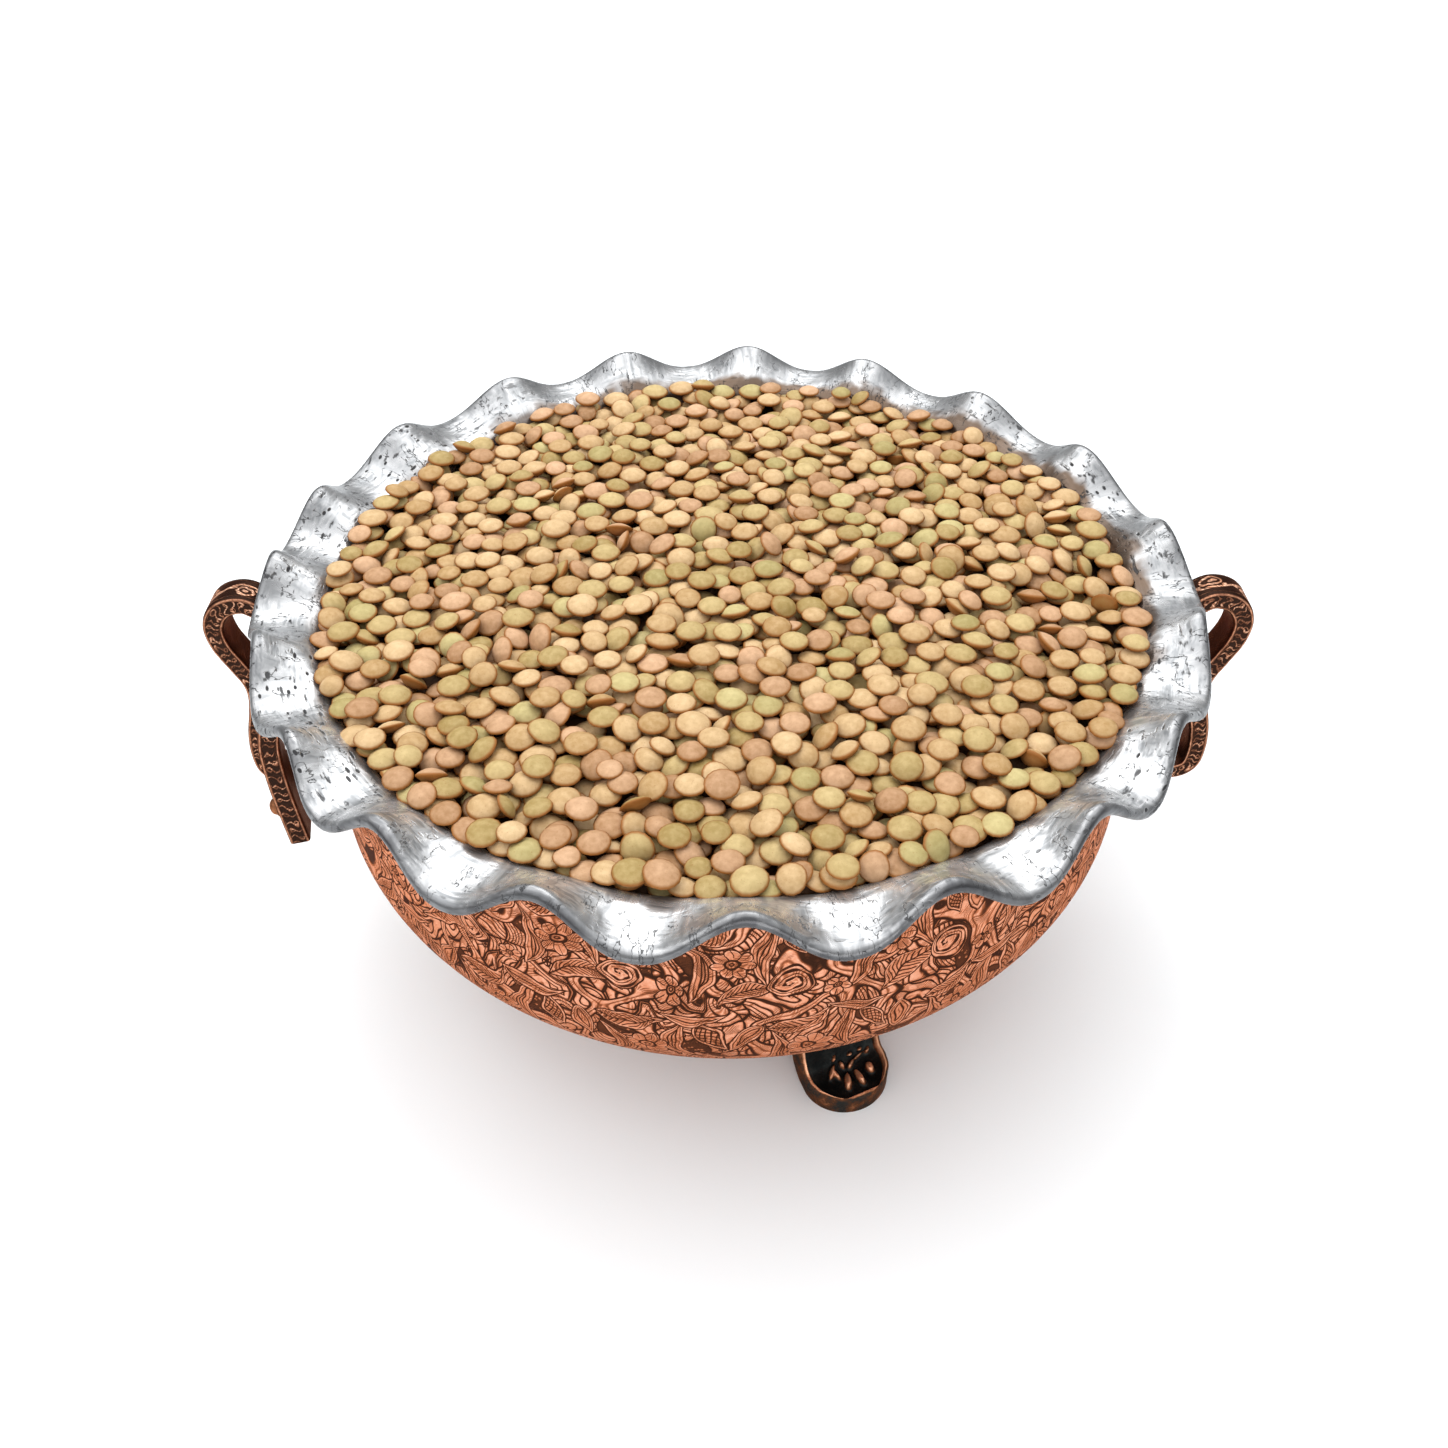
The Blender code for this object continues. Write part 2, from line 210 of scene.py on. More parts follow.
def flange_line(angle, t):
    """(point, normal, direction) of the sheet's middle line at this angle, each as radius and height."""
    lift = float(crest_share(angle))
    away = (angle - PUSHED_ANGLE + 180) % 360 - 180
    start = Vector((NECK_RADIUS - SHEET / 2, NECK_HEIGHT))
    lip = TROUGH.lerp(CREST, lift)
    lip.x -= PUSHED_IN * math.exp(-(away / PUSHED_SPREAD) ** 2)
    outward = math.radians(TROUGH_SLOPE + (CREST_SLOPE - TROUGH_SLOPE) * lift)
    first = start + Vector((0, NECK_CLIMB))
    second = lip - Vector((math.cos(outward), math.sin(outward))) * LIP_RUN
    back = 1 - t
    point = start * back ** 3 + first * 3 * t * back ** 2 + second * 3 * t ** 2 * back + lip * t ** 3
    along = (first - start) * back ** 2 + (second - first) * 2 * t * back + (lip - second) * t ** 2
    along.normalize()
    return point, Vector((-along.y, along.x)), along


def half_sheet(t):
    """Half the sheet's thickness on the flange: it swells into the bead at the lip."""
    swell = min(1.0, max(0.0, (t - BEAD_STARTS) / (1 - BEAD_STARTS)))
    return SHEET / 2 + (LIP_RADIUS - SHEET / 2) * swell ** 2 * (3 - 2 * swell)


def belly_point(share, inset):
    """(radius, height) on the belly, from 0 at the widest ring to 1 at the bottom, moved in by inset."""
    angle = share * math.pi / 2
    return Vector((
        (BELLY_RADIUS - inset) * math.cos(angle), BELLY_HEIGHT - (BELLY_DEPTH - inset) * math.sin(angle),
    ))


def profile(angle):
    """Rows of the bowl's section at this angle: first the copper ones, then the tinned ones."""
    copper = [belly_point(share, 0) for share in np.linspace(0.96, 0, 34)]
    neck_top, normal, _ = flange_line(angle, 0)
    neck_top = neck_top - normal * half_sheet(0)
    copper += [copper[-1].lerp(neck_top, share) for share in np.linspace(0, 1, 12)[1:-1]]
    for t in np.linspace(0, 1, 16):
        point, normal, _ = flange_line(angle, t)
        copper.append(point - normal * half_sheet(t))
    tinned = []
    end, normal, along = flange_line(angle, 1)
    for turn in np.linspace(-70, 90, 9):
        around = math.radians(turn)
        tinned.append(end + along * LIP_RADIUS * math.cos(around) + normal * LIP_RADIUS * math.sin(around))
    for t in np.linspace(1, 0, 18)[1:]:
        point, normal, _ = flange_line(angle, t)
        tinned.append(point + normal * half_sheet(t))
    inner_belly = [belly_point(share, SHEET) for share in np.linspace(0, 0.96, 12)]
    tinned += [tinned[-1].lerp(inner_belly[0], share) for share in np.linspace(0, 1, 6)[1:-1]]
    return copper, tinned + inner_belly


copper_rows, tinned_rows = profile(FIRST_CREST)
print("section of", len(copper_rows), "copper rows and", len(tinned_rows), "tinned rows")

# %% [markdown]
# Finishes are made of nodes, and long node trees are hard to read as code. So a small helper comes
# first: a Formula is a number that is worked out at each point of a surface, and ordinary sums
# with it lay the Math nodes. A pattern can then be written down as its geometry: distances to
# lines, petals and leaves, in millimetres.

# %% Formulas that lay nodes
PIECE_MAP = "piece_map"


class Formula:
    """A number, or a place, worked out at each point of the surface whose finish is open."""

    tree = None

    def __init__(self, socket):
        self.socket = socket


def feed(node, values):
    """Sets or joins the node's inputs: in their order, or by name where the values are a dict."""
    named = values if isinstance(values, dict) else dict(enumerate(values))
    for name, value in named.items():
        if isinstance(value, Formula):
            Formula.tree.links.new(value.socket, node.inputs[name])
        else:
            node.inputs[name].default_value = value


def lay_node(kind, values=(), output=0, **settings):
    """Lays one node in the open finish, feeds it, and gives one of its outputs."""
    node = Formula.tree.nodes.new("ShaderNode" + kind)
    for name, value in settings.items():
        setattr(node, name, value)
    feed(node, values)
    return Formula(node.outputs[output])


def calc(kind, *values):
    return lay_node("Math", values, operation=kind)


SUMS = {"add": "ADD", "sub": "SUBTRACT", "mul": "MULTIPLY", "truediv": "DIVIDE", "pow": "POWER"}
for method, kind in SUMS.items():
    setattr(Formula, f"__{method}__", lambda a, b, kind=kind: calc(kind, a, b))
    setattr(Formula, f"__r{method}__", lambda a, b, kind=kind: calc(kind, b, a))
Formula.__abs__ = lambda a: calc("ABSOLUTE", a)

print("a Formula can be added, taken away, multiplied, divided and raised to a power")

# %% [markdown]
# Next come the words of the pattern's own language. Everything is a distance in millimetres, which
# is below nothing inside a shape, so that one soft step turns any shape into a mask.

# %% Steps, masks and stripes
def cosine(a):
    return calc("COSINE", a)


def sine(a):
    return calc("SINE", a)


def least(a, b):
    return calc("MINIMUM", a, b)


def most(a, b):
    return calc("MAXIMUM", a, b)


def length(x, y):
    return calc("SQRT", x * x + y * y)


def step_down(value, start, end):
    """1 up to the start, 0 past the end, and smooth between them."""
    ends = (value, start, end, 1.0, 0.0)
    return lay_node("MapRange", ends, "Result", interpolation_type="SMOOTHSTEP", clamp=False)


def inside(distance, soft=0.16):
    """1 where the distance is below nothing, 0 above it, with an edge this many millimetres soft."""
    return step_down(distance, -soft / 2, soft / 2)


def blend(a, b, share):
    return a + (b - a) * share


def stripes(across, pitch, width, soft=0.3):
    """1 on lines of this width that repeat at this pitch."""
    return inside(abs(calc("FRACT", across / pitch) - 0.5) * pitch - width / 2, soft)


print("masks: step_down, inside, blend, stripes")

# %% [markdown]
# A pattern also needs to know where it is, and some chance. The place comes from the piece itself,
# in millimetres, either as its map or as a point in space. Noise gives clouds, and cells give spots.

# %% Places and chance
def vector(x, y, z=0.0):
    return lay_node("CombineXYZ", (x, y, z))


def parts_of(place):
    node = Formula.tree.nodes.new("ShaderNodeSeparateXYZ")
    feed(node, (place,))
    return [Formula(output) for output in node.outputs]


def moved(place, kind, other):
    return lay_node("VectorMath", (place, other), operation=kind)


def noise(place, size, detail=2.0, output="Fac"):
    """Smooth noise about 0.5, with lumps of this size in the place's own units."""
    return lay_node("TexNoise", {"Vector": place, "Scale": 1 / size, "Detail": detail}, output)


def kept(value):
    """The value held between 0 and 1."""
    return least(most(value, 0.0), 1.0)


def cells(place, size, output="Distance", feature="F1", flat=False):
    """Random cells of this size: the distance from each one's middle or edge, or its own colour."""
    sides = "2D" if flat else "3D"
    values = {"Vector": place, "Scale": 1 / size}
    return lay_node("TexVoronoi", values, output, voronoi_dimensions=sides, feature=feature)


def map_place():
    """(along, across) in millimetres from the piece's own map."""
    return parts_of(lay_node("UVMap", uv_map=PIECE_MAP))[:2]


def object_place():
    """The point in millimetres in the piece's own frame."""
    return moved(lay_node("TexCoord", output="Object"), "MULTIPLY", (1000, 1000, 1000))


def stored(attribute):
    return lay_node("Attribute", output="Fac", attribute_name=attribute)


print("places: map_place, object_place, stored; chance: noise, cells")

# %% [markdown]
# The last helpers turn a number into a colour, and join colour, roughness, metal and height to the
# surface. The height goes through a bump, so that a chisel cut of half a millimetre catches light.

# %% Colours and the surface
def colour_ramp(share, *stops):
    """A colour read off a strip of (position, (red, green, blue)) stops."""
    node = Formula.tree.nodes.new("ShaderNodeValToRGB")
    set_stops(node.color_ramp, stops)
    feed(node, (share,))
    return Formula(node.outputs["Color"])


def colour_mix(share, first, second):
    """The first colour where the share is 0 and the second where it is 1."""
    first, second = ((*colour, 1) if isinstance(colour, tuple) else colour for colour in (first, second))
    # Among the node's inputs and outputs of every type, these are the ones for colours
    return lay_node("Mix", {"Factor": share, 6: first, 7: second}, 2, data_type="RGBA")


def open_finish(name):
    """Starts a finish: what is worked out next is laid in it."""
    finish = bpy.data.materials.new(name)
    finish.use_nodes = True
    Formula.tree = finish.node_tree
    return finish, finish.node_tree.nodes["Principled BSDF"]


def finish_with(shader, colour, roughness, metallic, height, depth, edge_tint=(1, 1, 1)):
    """Colour, roughness, metal, and a height in units of depth, which is in metres."""
    shader.inputs["Specular Tint"].default_value = (*edge_tint, 1)
    bumps = lay_node("Bump", {"Distance": depth, "Height": height})
    feed(shader, {"Base Color": colour, "Roughness": roughness, "Metallic": metallic, "Normal": bumps})


print("colours: colour_ramp, colour_mix; surface: open_finish, finish_with")

# %% [markdown]
# The engraving. A coppersmith cuts round leaves, flowers and scrolls with a fine chisel, so each
# motif is a raised shape in a dark ring, on a ground of smaller cut leaves. The same is done here:
# a ground of bent cells with lines and dots in them comes first, then each motif is laid over it
# as a distance, negative inside its outline. A laid motif clears the ground under it.

# %% Engraved motifs
CUT = 0.36
UNITS_ROUND = 18
PATTERN_SCALE = 0.88
UNIT_WIDE = 2 * math.pi * BELLY_RADIUS / MM / PATTERN_SCALE / UNITS_ROUND
UNIT_HIGH = 32.0


def lay(ground, distance, lines, cleared=None):
    """The relief with this motif laid on it: a dark ring round it, a bright edge and its own cut lines."""
    cover = inside((distance if cleared is None else cleared) - CUT)
    body = inside(distance, 0.3) * (0.80 + 0.20 * step_down(0 - distance, 0.35, 0.8))
    return ground * (1 - cover) + body * (1 - lines)


def placed(u, v, right, down, turn, swing):
    """The motif's own (x, y) about its middle, repeated in half-dropped units that each turn by chance."""
    row = calc("ROUND", (v - down) / UNIT_HIGH)
    y = v - down - row * UNIT_HIGH
    shifted = u - right - row * (UNIT_WIDE / 2)
    column = calc("ROUND", shifted / UNIT_WIDE)
    x = shifted - column * UNIT_WIDE
    unit = vector(calc("FLOORED_MODULO", column + right / 7, UNITS_ROUND), row + down / 5)
    chance = lay_node("TexWhiteNoise", (unit,), "Value", noise_dimensions="2D")
    angle = (chance - 0.5) * swing + math.radians(turn)
    across, along = sine(angle), cosine(angle)
    return x * along + y * across, y * along - x * across


def leaf(x, y, long, width, bend):
    """A bent leaf with a midrib and lines that follow its edge."""
    t = x / long + 0.5
    bow = t * (1 - t) * 4
    off = abs(y - bow * bend + bend / 2)
    distance = off - bow * (1.35 - t * 0.7) * width
    ribs = stripes(distance, 1.1, 0.3) * inside(distance + 0.6)
    return distance, most(ribs, inside(off - 0.16) * inside(distance + 0.4))


def veined_leaf(x, y, long, width, bend):
    """A broad leaf with a midrib and slanting veins."""
    t = x / long + 0.5
    bow = t * (1 - t) * 4
    off = abs(y - bow * bend + bend / 2)
    distance = off - bow * (0.7 + t * 0.6) * width
    veins = stripes(x - off * 1.1, 1.25, 0.32) * inside(distance + 0.4)
    return distance, most(veins, inside(off - 0.17))


def netted_leaf(x, y, long, width):
    """A pointed petal filled with a net."""
    t = x / long + 0.5
    distance = abs(y) - t * (1 - t) * 4 * width
    net = most(stripes(x * 0.8 + y, 1.4, 0.34), stripes(x * 0.8 - y, 1.4, 0.34)) * inside(distance + 0.8)
    return distance, most(net, inside(abs(distance + 0.7) - 0.14))


print("a unit of the pattern is", round(UNIT_WIDE, 1), "by", UNIT_HIGH, "mm")

# %% [markdown]
# Round motifs are easier in turns than in squares: the distance from the middle and the angle round
# it. A cosine of the angle makes petals, and adding the angle to the distance winds up a spiral.

# %% Flowers, scrolls and teardrops
def flower(x, y, size, petals):
    """A round flower: petals with a line down each, and a netted middle."""
    radius = length(x, y)
    angle = calc("ARCTAN2", y, x)
    lobe = abs(cosine(angle * (petals / 2)))
    distance = radius - (lobe ** 0.6 * 0.42 + 0.58) * size
    down_petal = inside(abs(sine(angle * (petals / 2))) * radius * 0.5 - 0.12) * inside(size * 0.5 - radius)
    between = inside(lobe * radius * 0.5 - 0.2) * inside(size * 0.3 - radius)
    ring = inside(abs(radius - size * 0.32) - 0.2)
    net = stripes(radius, 0.9, 0.3) * inside(radius - size * 0.28)
    return distance, most(most(down_petal, between), most(ring, net))


def scroll(x, y, size, turns):
    """A curled tendril: a lobed spiral band round its eye."""
    radius = length(x, y)
    angle = calc("ARCTAN2", y, x)
    pitch = size / turns
    wound = calc("FRACT", radius / pitch - angle / (2 * math.pi)) - 0.5
    lobes = sine(angle * 4 + radius * 2.5) * 0.08
    distance = most((abs(wound) - lobes - 0.37) * pitch, radius - size)
    return distance, inside(abs(wound + 0.05) * pitch - 0.1) * inside(2.2 - radius), radius - size


def paisley(x, y, size):
    """A teardrop with its outline repeated inside it."""
    t = kept(x / size + 0.5)
    beyond = abs(x / size + 0.5 - t) * size * 3
    distance = abs(y - t * t * size * 0.12) - t ** 0.6 * (1 - t) * size * 0.62 + beyond
    return distance, stripes(distance, 1.0, 0.32) * inside(distance + 0.5)


print("motifs: leaf, veined leaf, netted leaf, flower, scroll, paisley")

# %% [markdown]
# One unit of the pattern is about as wide as a crest, and it repeats eighteen times round the
# bowl, each row shifted by half a unit. Each repeat turns its motifs a little differently, and the
# whole map is bent by soft noise, so that no two places look stamped. Long stems run between the
# motifs: they are the level lines of a smooth noise, so they wander and never end.

# %% Engraved copper
GROUND_CELL = 6.4
GROUND_BEND = 9.0
HAND_WOBBLE = 4.2
RELIEF = 0.45 * MM
# Copper seen along its surface keeps its colour
COPPER_EDGE = (0.66, 0.42, 0.32)
# Each motif of the unit: its shape and sizes in millimetres, then its middle, its turn and its swing
UNIT = (
    (netted_leaf, (12, 2.7), 14.5, -6.5, 65, 0.8),
    (leaf, (20, 2.5, 4.6), 8.2, -2.5, 84, 0.5),
    (leaf, (20, 2.4, 4.6), -8.2, 2.5, 264, 0.5),
    (veined_leaf, (16, 3.0, -2.4), 3.5, 10.5, -24, 0.5),
    (veined_leaf, (15, 2.8, -2.4), -3.5, -10.5, 156, 0.5),
    (leaf, (15, 1.6, 2.6), 10.0, -13.5, 12, 0.9),
    (paisley, (11,), -15.0, -5.0, 100, 0.8),
    (flower, (5.0, 7), 0, 0, 0, 1.0),
    (flower, (3.2, 5), -13.5, 10.5, 0, 1.0),
)
SCROLLS = ((4.6, 2.3, 13.5, 7.5, 1),)


def cut_ground(place, u, v):
    """The ground between the motifs: a patchwork of cells, each cut as a leaf, a curl or a rosette."""
    drift = moved(noise(place, 17.0, 1.0, "Color"), "SUBTRACT", (0.5,) * 3)
    aside, away, _ = parts_of(moved(drift, "MULTIPLY", (2 * GROUND_BEND,) * 3))
    bent = vector(u + aside, (v + away) * 0.85)
    edge = cells(bent, GROUND_CELL, feature="DISTANCE_TO_EDGE", flat=True) * GROUND_CELL
    first, second, third = parts_of(cells(bent, GROUND_CELL, "Color", flat=True))
    right, down, _ = parts_of(moved(bent, "SUBTRACT", cells(bent, GROUND_CELL, "Position", flat=True)))
    angle = second * (2 * math.pi)
    across, along = sine(angle), cosine(angle)
    x, y = right * along + down * across, down * along - right * across
    radius = length(x, y)
    turn = calc("ARCTAN2", y, x)
    ribs = stripes(y + x * x * 0.07, 1.3, 0.34)
    curl = stripes(radius - turn * (1.7 / (2 * math.pi)), 1.7, 0.4)
    petals = most(inside(abs(sine(turn * 3)) * radius * 0.33 - 0.16), inside(abs(radius - 1.1) - 0.17))
    rings = stripes(edge, 1.25, 0.34)
    cut = blend(blend(petals, curl, inside(first - 0.76, 0.01)), rings, inside(first - 0.5, 0.01))
    cut = blend(cut, ribs, inside(first - 0.32, 0.01))
    dots = inside(cells(place, 1.2) * 1.2 - 0.34)
    cut = blend(cut, 0.85 - dots * 0.6, inside(third - 0.13, 0.01))
    # Each cell is darker towards its edges: painted shade of a rounded cut, which also lowers the bump
    # there.
    return (1 - most(cut, inside(edge - 0.24))) * (0.6 + 0.4 * step_down(0 - edge, -0.9, 0))


print(len(UNIT) + len(SCROLLS), "motifs in a unit,", UNITS_ROUND, "units round the bowl")

# %% [markdown]
# Bright copper is high and dark dirt is low, and the ground's cells also carry painted shade that
# darkens them towards their edges, so one strip of colours, read off by the relief, does most of the
# work. A cloud of wear and a fine grime shift it, or the copper would look printed.

# %% The finish of the engraved copper
def copper_colours(relief, place):
    """Base colour of worn copper: bright where raised, nearly black where dirt sits in the cuts."""
    cloud = noise(place, 9.0, 3.0)
    grime = noise(place, 0.9, 2.0)
    worn = relief * (0.66 + 0.5 * grime) + (cloud - 0.5) * 0.25
    return colour_ramp(
        worn, (0.0, (0.040, 0.014, 0.007)), (0.28, (0.16, 0.050, 0.022)), (0.55, (0.48, 0.155, 0.070)),
        (0.80, (0.71, 0.29, 0.165)), (1.0, (0.82, 0.41, 0.27)),
    )


def engraved_copper():
    finish, shader = open_finish("copper_engraved")
    place = object_place()
    wobble = moved(noise(place, 13.0, 2.0, "Color"), "SUBTRACT", (0.5,) * 3)
    aside, away, _ = parts_of(moved(wobble, "MULTIPLY", (2 * HAND_WOBBLE,) * 3))
    along, depth = map_place()
    u, v = (along + aside) / PATTERN_SCALE, (depth + away) / PATTERN_SCALE
    relief = cut_ground(place, u, v)
    stem = abs(noise(place, 15.0, 1.0) - 0.5) * 22
    relief = lay(relief, stem - 0.7, inside(stem - 0.1) * 0.5)
    for shape, sizes, right, down, turn, swing in UNIT:
        relief = lay(relief, *shape(*placed(u, v, right, down, turn, swing), *sizes))
    for size, turns, right, down, hand in SCROLLS:
        x, y = placed(u, v, right, down, 0, 3.0)
        relief = lay(relief, *scroll(x, y * hand, size, turns))
    slant = noise(place, 6.0, 1.0) * 9
    hatching = stripes(u * 0.8 + v * 0.6 + slant, 0.62, 0.24) * step_down(noise(place, 3.4, 1.0), 0.44, 0.54)
    relief = relief * (1 - hatching * 0.5)
    grain = noise(place, 0.35, 2.0)
    roughness = 0.60 - relief * 0.22 + grain * 0.08
    colour = copper_colours(relief, place)
    finish_with(shader, colour, roughness, 0.78 + relief * 0.17, relief + grain * 0.12, RELIEF, COPPER_EDGE)
    return finish


print("engraved copper is cut", round(RELIEF / MM, 2), "mm deep")

# %% [markdown]
# The straps carry simpler work: a looping vine between border lines on the outer face, and a close
# row of S-shaped bars on both narrow faces. The inner face was never cut; it faces the bowl and is
# painted dark as painted shade. The outer face, which faces up, is painted brighter as a painted
# highlight, and the edges are painted lightest, partly as wear from hands and partly as a painted
# highlight on the rounded corners.

# %% Strap copper
# How far round the strap's section, in millimetres, the middle of its outer face and of its first
# narrow face are. The second narrow face is half a round further.
OUTER_MIDDLE = 4.46
SIDE_MIDDLE = 10.51
HALF_ROUND = 12.11


def vine(u, w, pitch):
    """Relief of a waving stem with a ringed bud in each of its bays, between two border lines."""
    bay = calc("ROUND", u / pitch)
    x = u - bay * pitch
    hand = 1 - 2 * calc("FLOORED_MODULO", bay, 2.0)
    stem = abs(w - 1.35 * cosine(u * (math.pi / pitch))) - 0.36
    from_bud = length(x, w + hand * 1.0)
    ring = abs(from_bud - 1.35) - 0.3
    leaves = length(abs(x) - pitch * 0.32, (w - hand * 0.2) * 1.6) - 0.75
    borders = abs(abs(w) - 2.9) - 0.02
    return inside(least(least(stem, ring), least(least(from_bud - 0.55, leaves), borders)), 0.3)


def knots(u, w, pitch):
    """Relief of a close row of S-shaped bars, each curled round a dot at one end."""
    bar = calc("ROUND", u / pitch)
    x = u - bar * pitch
    stroke = abs(x - sine(w * 2.1) * 0.62) - 0.26
    hand = 1 - 2 * calc("FLOORED_MODULO", bar, 2.0)
    from_dot = length(x - hand * 0.35, w - hand * 0.75)
    ring = abs(from_dot - 0.55) - 0.13
    borders = abs(abs(w) - 1.62) - 0.06
    return inside(least(most(stroke, abs(w) - 1.5), least(ring, borders)), 0.3)


def strap_copper(name, pitch):
    finish, shader = open_finish("copper_" + name)
    place = object_place()
    u, v = map_place()
    wobble = noise(place, 4.0, 2.0) - 0.5
    across = calc("WRAP", v - SIDE_MIDDLE, HALF_ROUND / 2, -HALF_ROUND / 2)
    on_side = inside(abs(across) - 2.0, 0.3)
    on_outer = inside(abs(v - OUTER_MIDDLE) - 4.0, 0.3)
    # The outer face faces up, so its relief is made brighter: a painted highlight.
    outer = vine(u + wobble * 3, v - OUTER_MIDDLE + wobble * 1.6, pitch) * 1.7
    side = knots(u + wobble * 5, across + wobble * 1.4, pitch * 0.27)
    # The inner face faces the bowl and is painted dark: painted shade.
    plain_in_painted_shade = 0.24 + wobble * 0.6
    relief = blend(blend(plain_in_painted_shade, outer, on_outer), side, on_side)
    # The corners are painted bright: partly wear, partly a painted highlight.
    rubbed_and_highlit_edges = inside(abs(abs(across) - 1.95) - 0.3, 0.5) * (0.3 + noise(place, 1.6, 2.0) * 0.8)
    hatching = stripes(u * 0.7 + across * 0.9 + wobble * 3, 0.7, 0.26)
    rubbed = step_down(noise(place, 2.6, 2.0), 0.40, 0.62)
    relief = relief * (0.95 - rubbed * 0.45) * (1 - hatching * 0.35) + 0.03
    relief = most(relief, rubbed_and_highlit_edges)
    grain = noise(place, 0.4, 3.0)
    colour = colour_ramp(
        relief + (grain - 0.5) * 0.3, (0.0, (0.022, 0.012, 0.009)), (0.30, (0.075, 0.032, 0.020)),
        (0.55, (0.27, 0.115, 0.066)), (0.80, (0.58, 0.28, 0.165)), (1.0, (0.80, 0.47, 0.32)),
    )
    height = relief + grain * 0.2
    finish_with(shader, colour, 0.42 - relief * 0.12 + grain * 0.1, 0.88, height, RELIEF, COPPER_EDGE)
    return finish


print("strap patterns: vine, knots")

# %% [markdown]
# The feet and the rivet were never cut. Their copper has gone dark and slaty in the hollows, and
# brown and then bright where it is rubbed. How far each point is rubbed is stored with the mesh;
# on a foot it also holds a painted highlight along the crown of the rim.

# %% Dark copper
PATINA_DEPTH = 0.3 * MM


def patina_copper(name, rubbed=None):
    finish, shader = open_finish("copper_" + name)
    place = object_place()
    worn = stored("rubbed") if rubbed is None else rubbed
    blotches = noise(place, 3.2, 4.0)
    grain = noise(place, 0.5, 3.0)
    share = (blotches - 0.5) * 0.9 + (grain - 0.5) * 0.3 + worn
    colour = colour_ramp(
        share, (0.0, (0.010, 0.014, 0.015)), (0.26, (0.028, 0.033, 0.032)), (0.42, (0.11, 0.045, 0.022)),
        (0.64, (0.42, 0.17, 0.080)), (0.95, (0.90, 0.46, 0.27)),
    )
    height = blotches * 0.8 + grain * 0.3
    finish_with(shader, colour, 0.46 - share * 0.12, 0.80, height, PATINA_DEPTH, COPPER_EDGE)
    return finish


print("dark copper is ready for the feet and the rivet")

# %% [markdown]
# The tin lining is wiped on hot with a rag, so it is bright but not even: soft grey streaks run
# the way of the wiping, and small pits and scratches hold black dirt. Most of its light and dark
# comes from what it reflects, so the bumps matter as much as the colour. Some is painted in:
# shade on the crest flanks and at the back, a dark bead at the lip, and a brown band by the lentils.

# %% Tin lining
WIPED_DEPTH = 0.4 * MM


def tin_finish():
    finish, shader = open_finish("tin_lining")
    place = object_place()
    along, row = map_place()
    x, y, z = parts_of(place)
    radius = length(x, y)
    drift = noise(place, 8.0, 2.0) * 3
    down_flange = noise(vector(along / 1.3 + drift, radius / 9, z / 9), 1.0, 4.0)
    round_flange = noise(vector(along / 12, radius / 0.9 + drift, z / 1.2), 1.0, 3.0)
    patches = noise(place, 6.0, 2.0)
    wiped = blend(down_flange, round_flange, step_down(patches, 0.40, 0.58))
    streaks = kept((wiped - 0.33) * 3.4 + (patches - 0.5) * 1.2)
    stroke_at = vector(along / 2.4 + drift, radius / 1.0, z / 1.3)
    strokes = step_down(cells(stroke_at, 1.7), 0.15, 0.24) * step_down(noise(place, 5.0, 1.0), 0.44, 0.52)
    cracks = step_down(abs(noise(vector(along / 1.5, radius / 4, z / 4), 1.1, 4.0) - 0.5), 0.006, 0.016)
    cracks = cracks * step_down(noise(place, 4.2, 1.0), 0.42, 0.50)
    smudges = step_down(noise(stroke_at, 1.6, 3.0), 0.29, 0.39)
    worn_side = 1 - step_down(abs(x), 40, 80)
    dirt = most(cracks * 0.8, strokes * (0.25 + 0.75 * worn_side))
    dirt = most(dirt, smudges * (0.15 + 0.75 * worn_side))
    # The bead at the lip is painted dark grey: painted shade of the rolled edge.
    on_bead = step_down(0 - row, 6.0, 19.0)
    painted_bead_shade = on_bead * (0.92 + (patches - 0.5) * 0.8)
    # The back, and most of all the flanks of its crests, are painted greyer: painted shade.
    behind = 1 - step_down(y + abs(x) * 0.5, -30, 45)
    to_right = 1 - step_down(y + x * 0.7, -10, 70)
    # Next to the lentils the tin is painted brown, most to the right: painted shade and reflection of the
    # heap.
    shoulder = step_down(radius + (patches - 0.5) * 7 - to_right * 2.4, 91.2, 94.2)
    flank = stored("flank") * (0.12 + behind * 0.40) * (0.7 + streaks * 0.5)
    colour = colour_mix(streaks * (1 - behind * 0.2), (0.34, 0.35, 0.36), (0.84, 0.845, 0.85))
    colour = colour_mix(flank, colour, (0.12, 0.12, 0.125))
    colour = colour_mix(kept(painted_bead_shade), colour, (0.075, 0.075, 0.08))
    colour = colour_mix(shoulder * (0.5 + to_right * 0.45), colour, (0.10, 0.062, 0.038))
    colour = colour_mix(dirt, colour, (0.02, 0.02, 0.022))
    roughness = 0.34 - streaks * 0.08 + dirt * 0.3
    height = patches * 1.0 + wiped * 0.2 - dirt * 0.4
    finish_with(shader, colour, roughness, 0.78 - dirt * 0.5, height, WIPED_DEPTH)
    return finish


print("tin is wiped, pitted, and grey on its bead")

# %% [markdown]
# Now the mesh. Each row of the section is a ring round the bowl, and neighbouring rings are joined
# by quads. The map stored with the copper runs in millimetres: round the bowl one way and down it
# the other, stretched so that a motif keeps its shape as the bowl narrows towards its base.

# %% Bowl mesh
def add_piece(name, mesh, node, slot_name, *finishes):
    """Puts the mesh in the scene as a piece that rides on the model and stands for the node."""
    for finish in finishes:
        mesh.materials.append(finish)
    piece = put_in_scene(name, mesh)
    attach(piece, "root")
    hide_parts(node)
    print(f"{name}: {len(mesh.polygons)} faces")


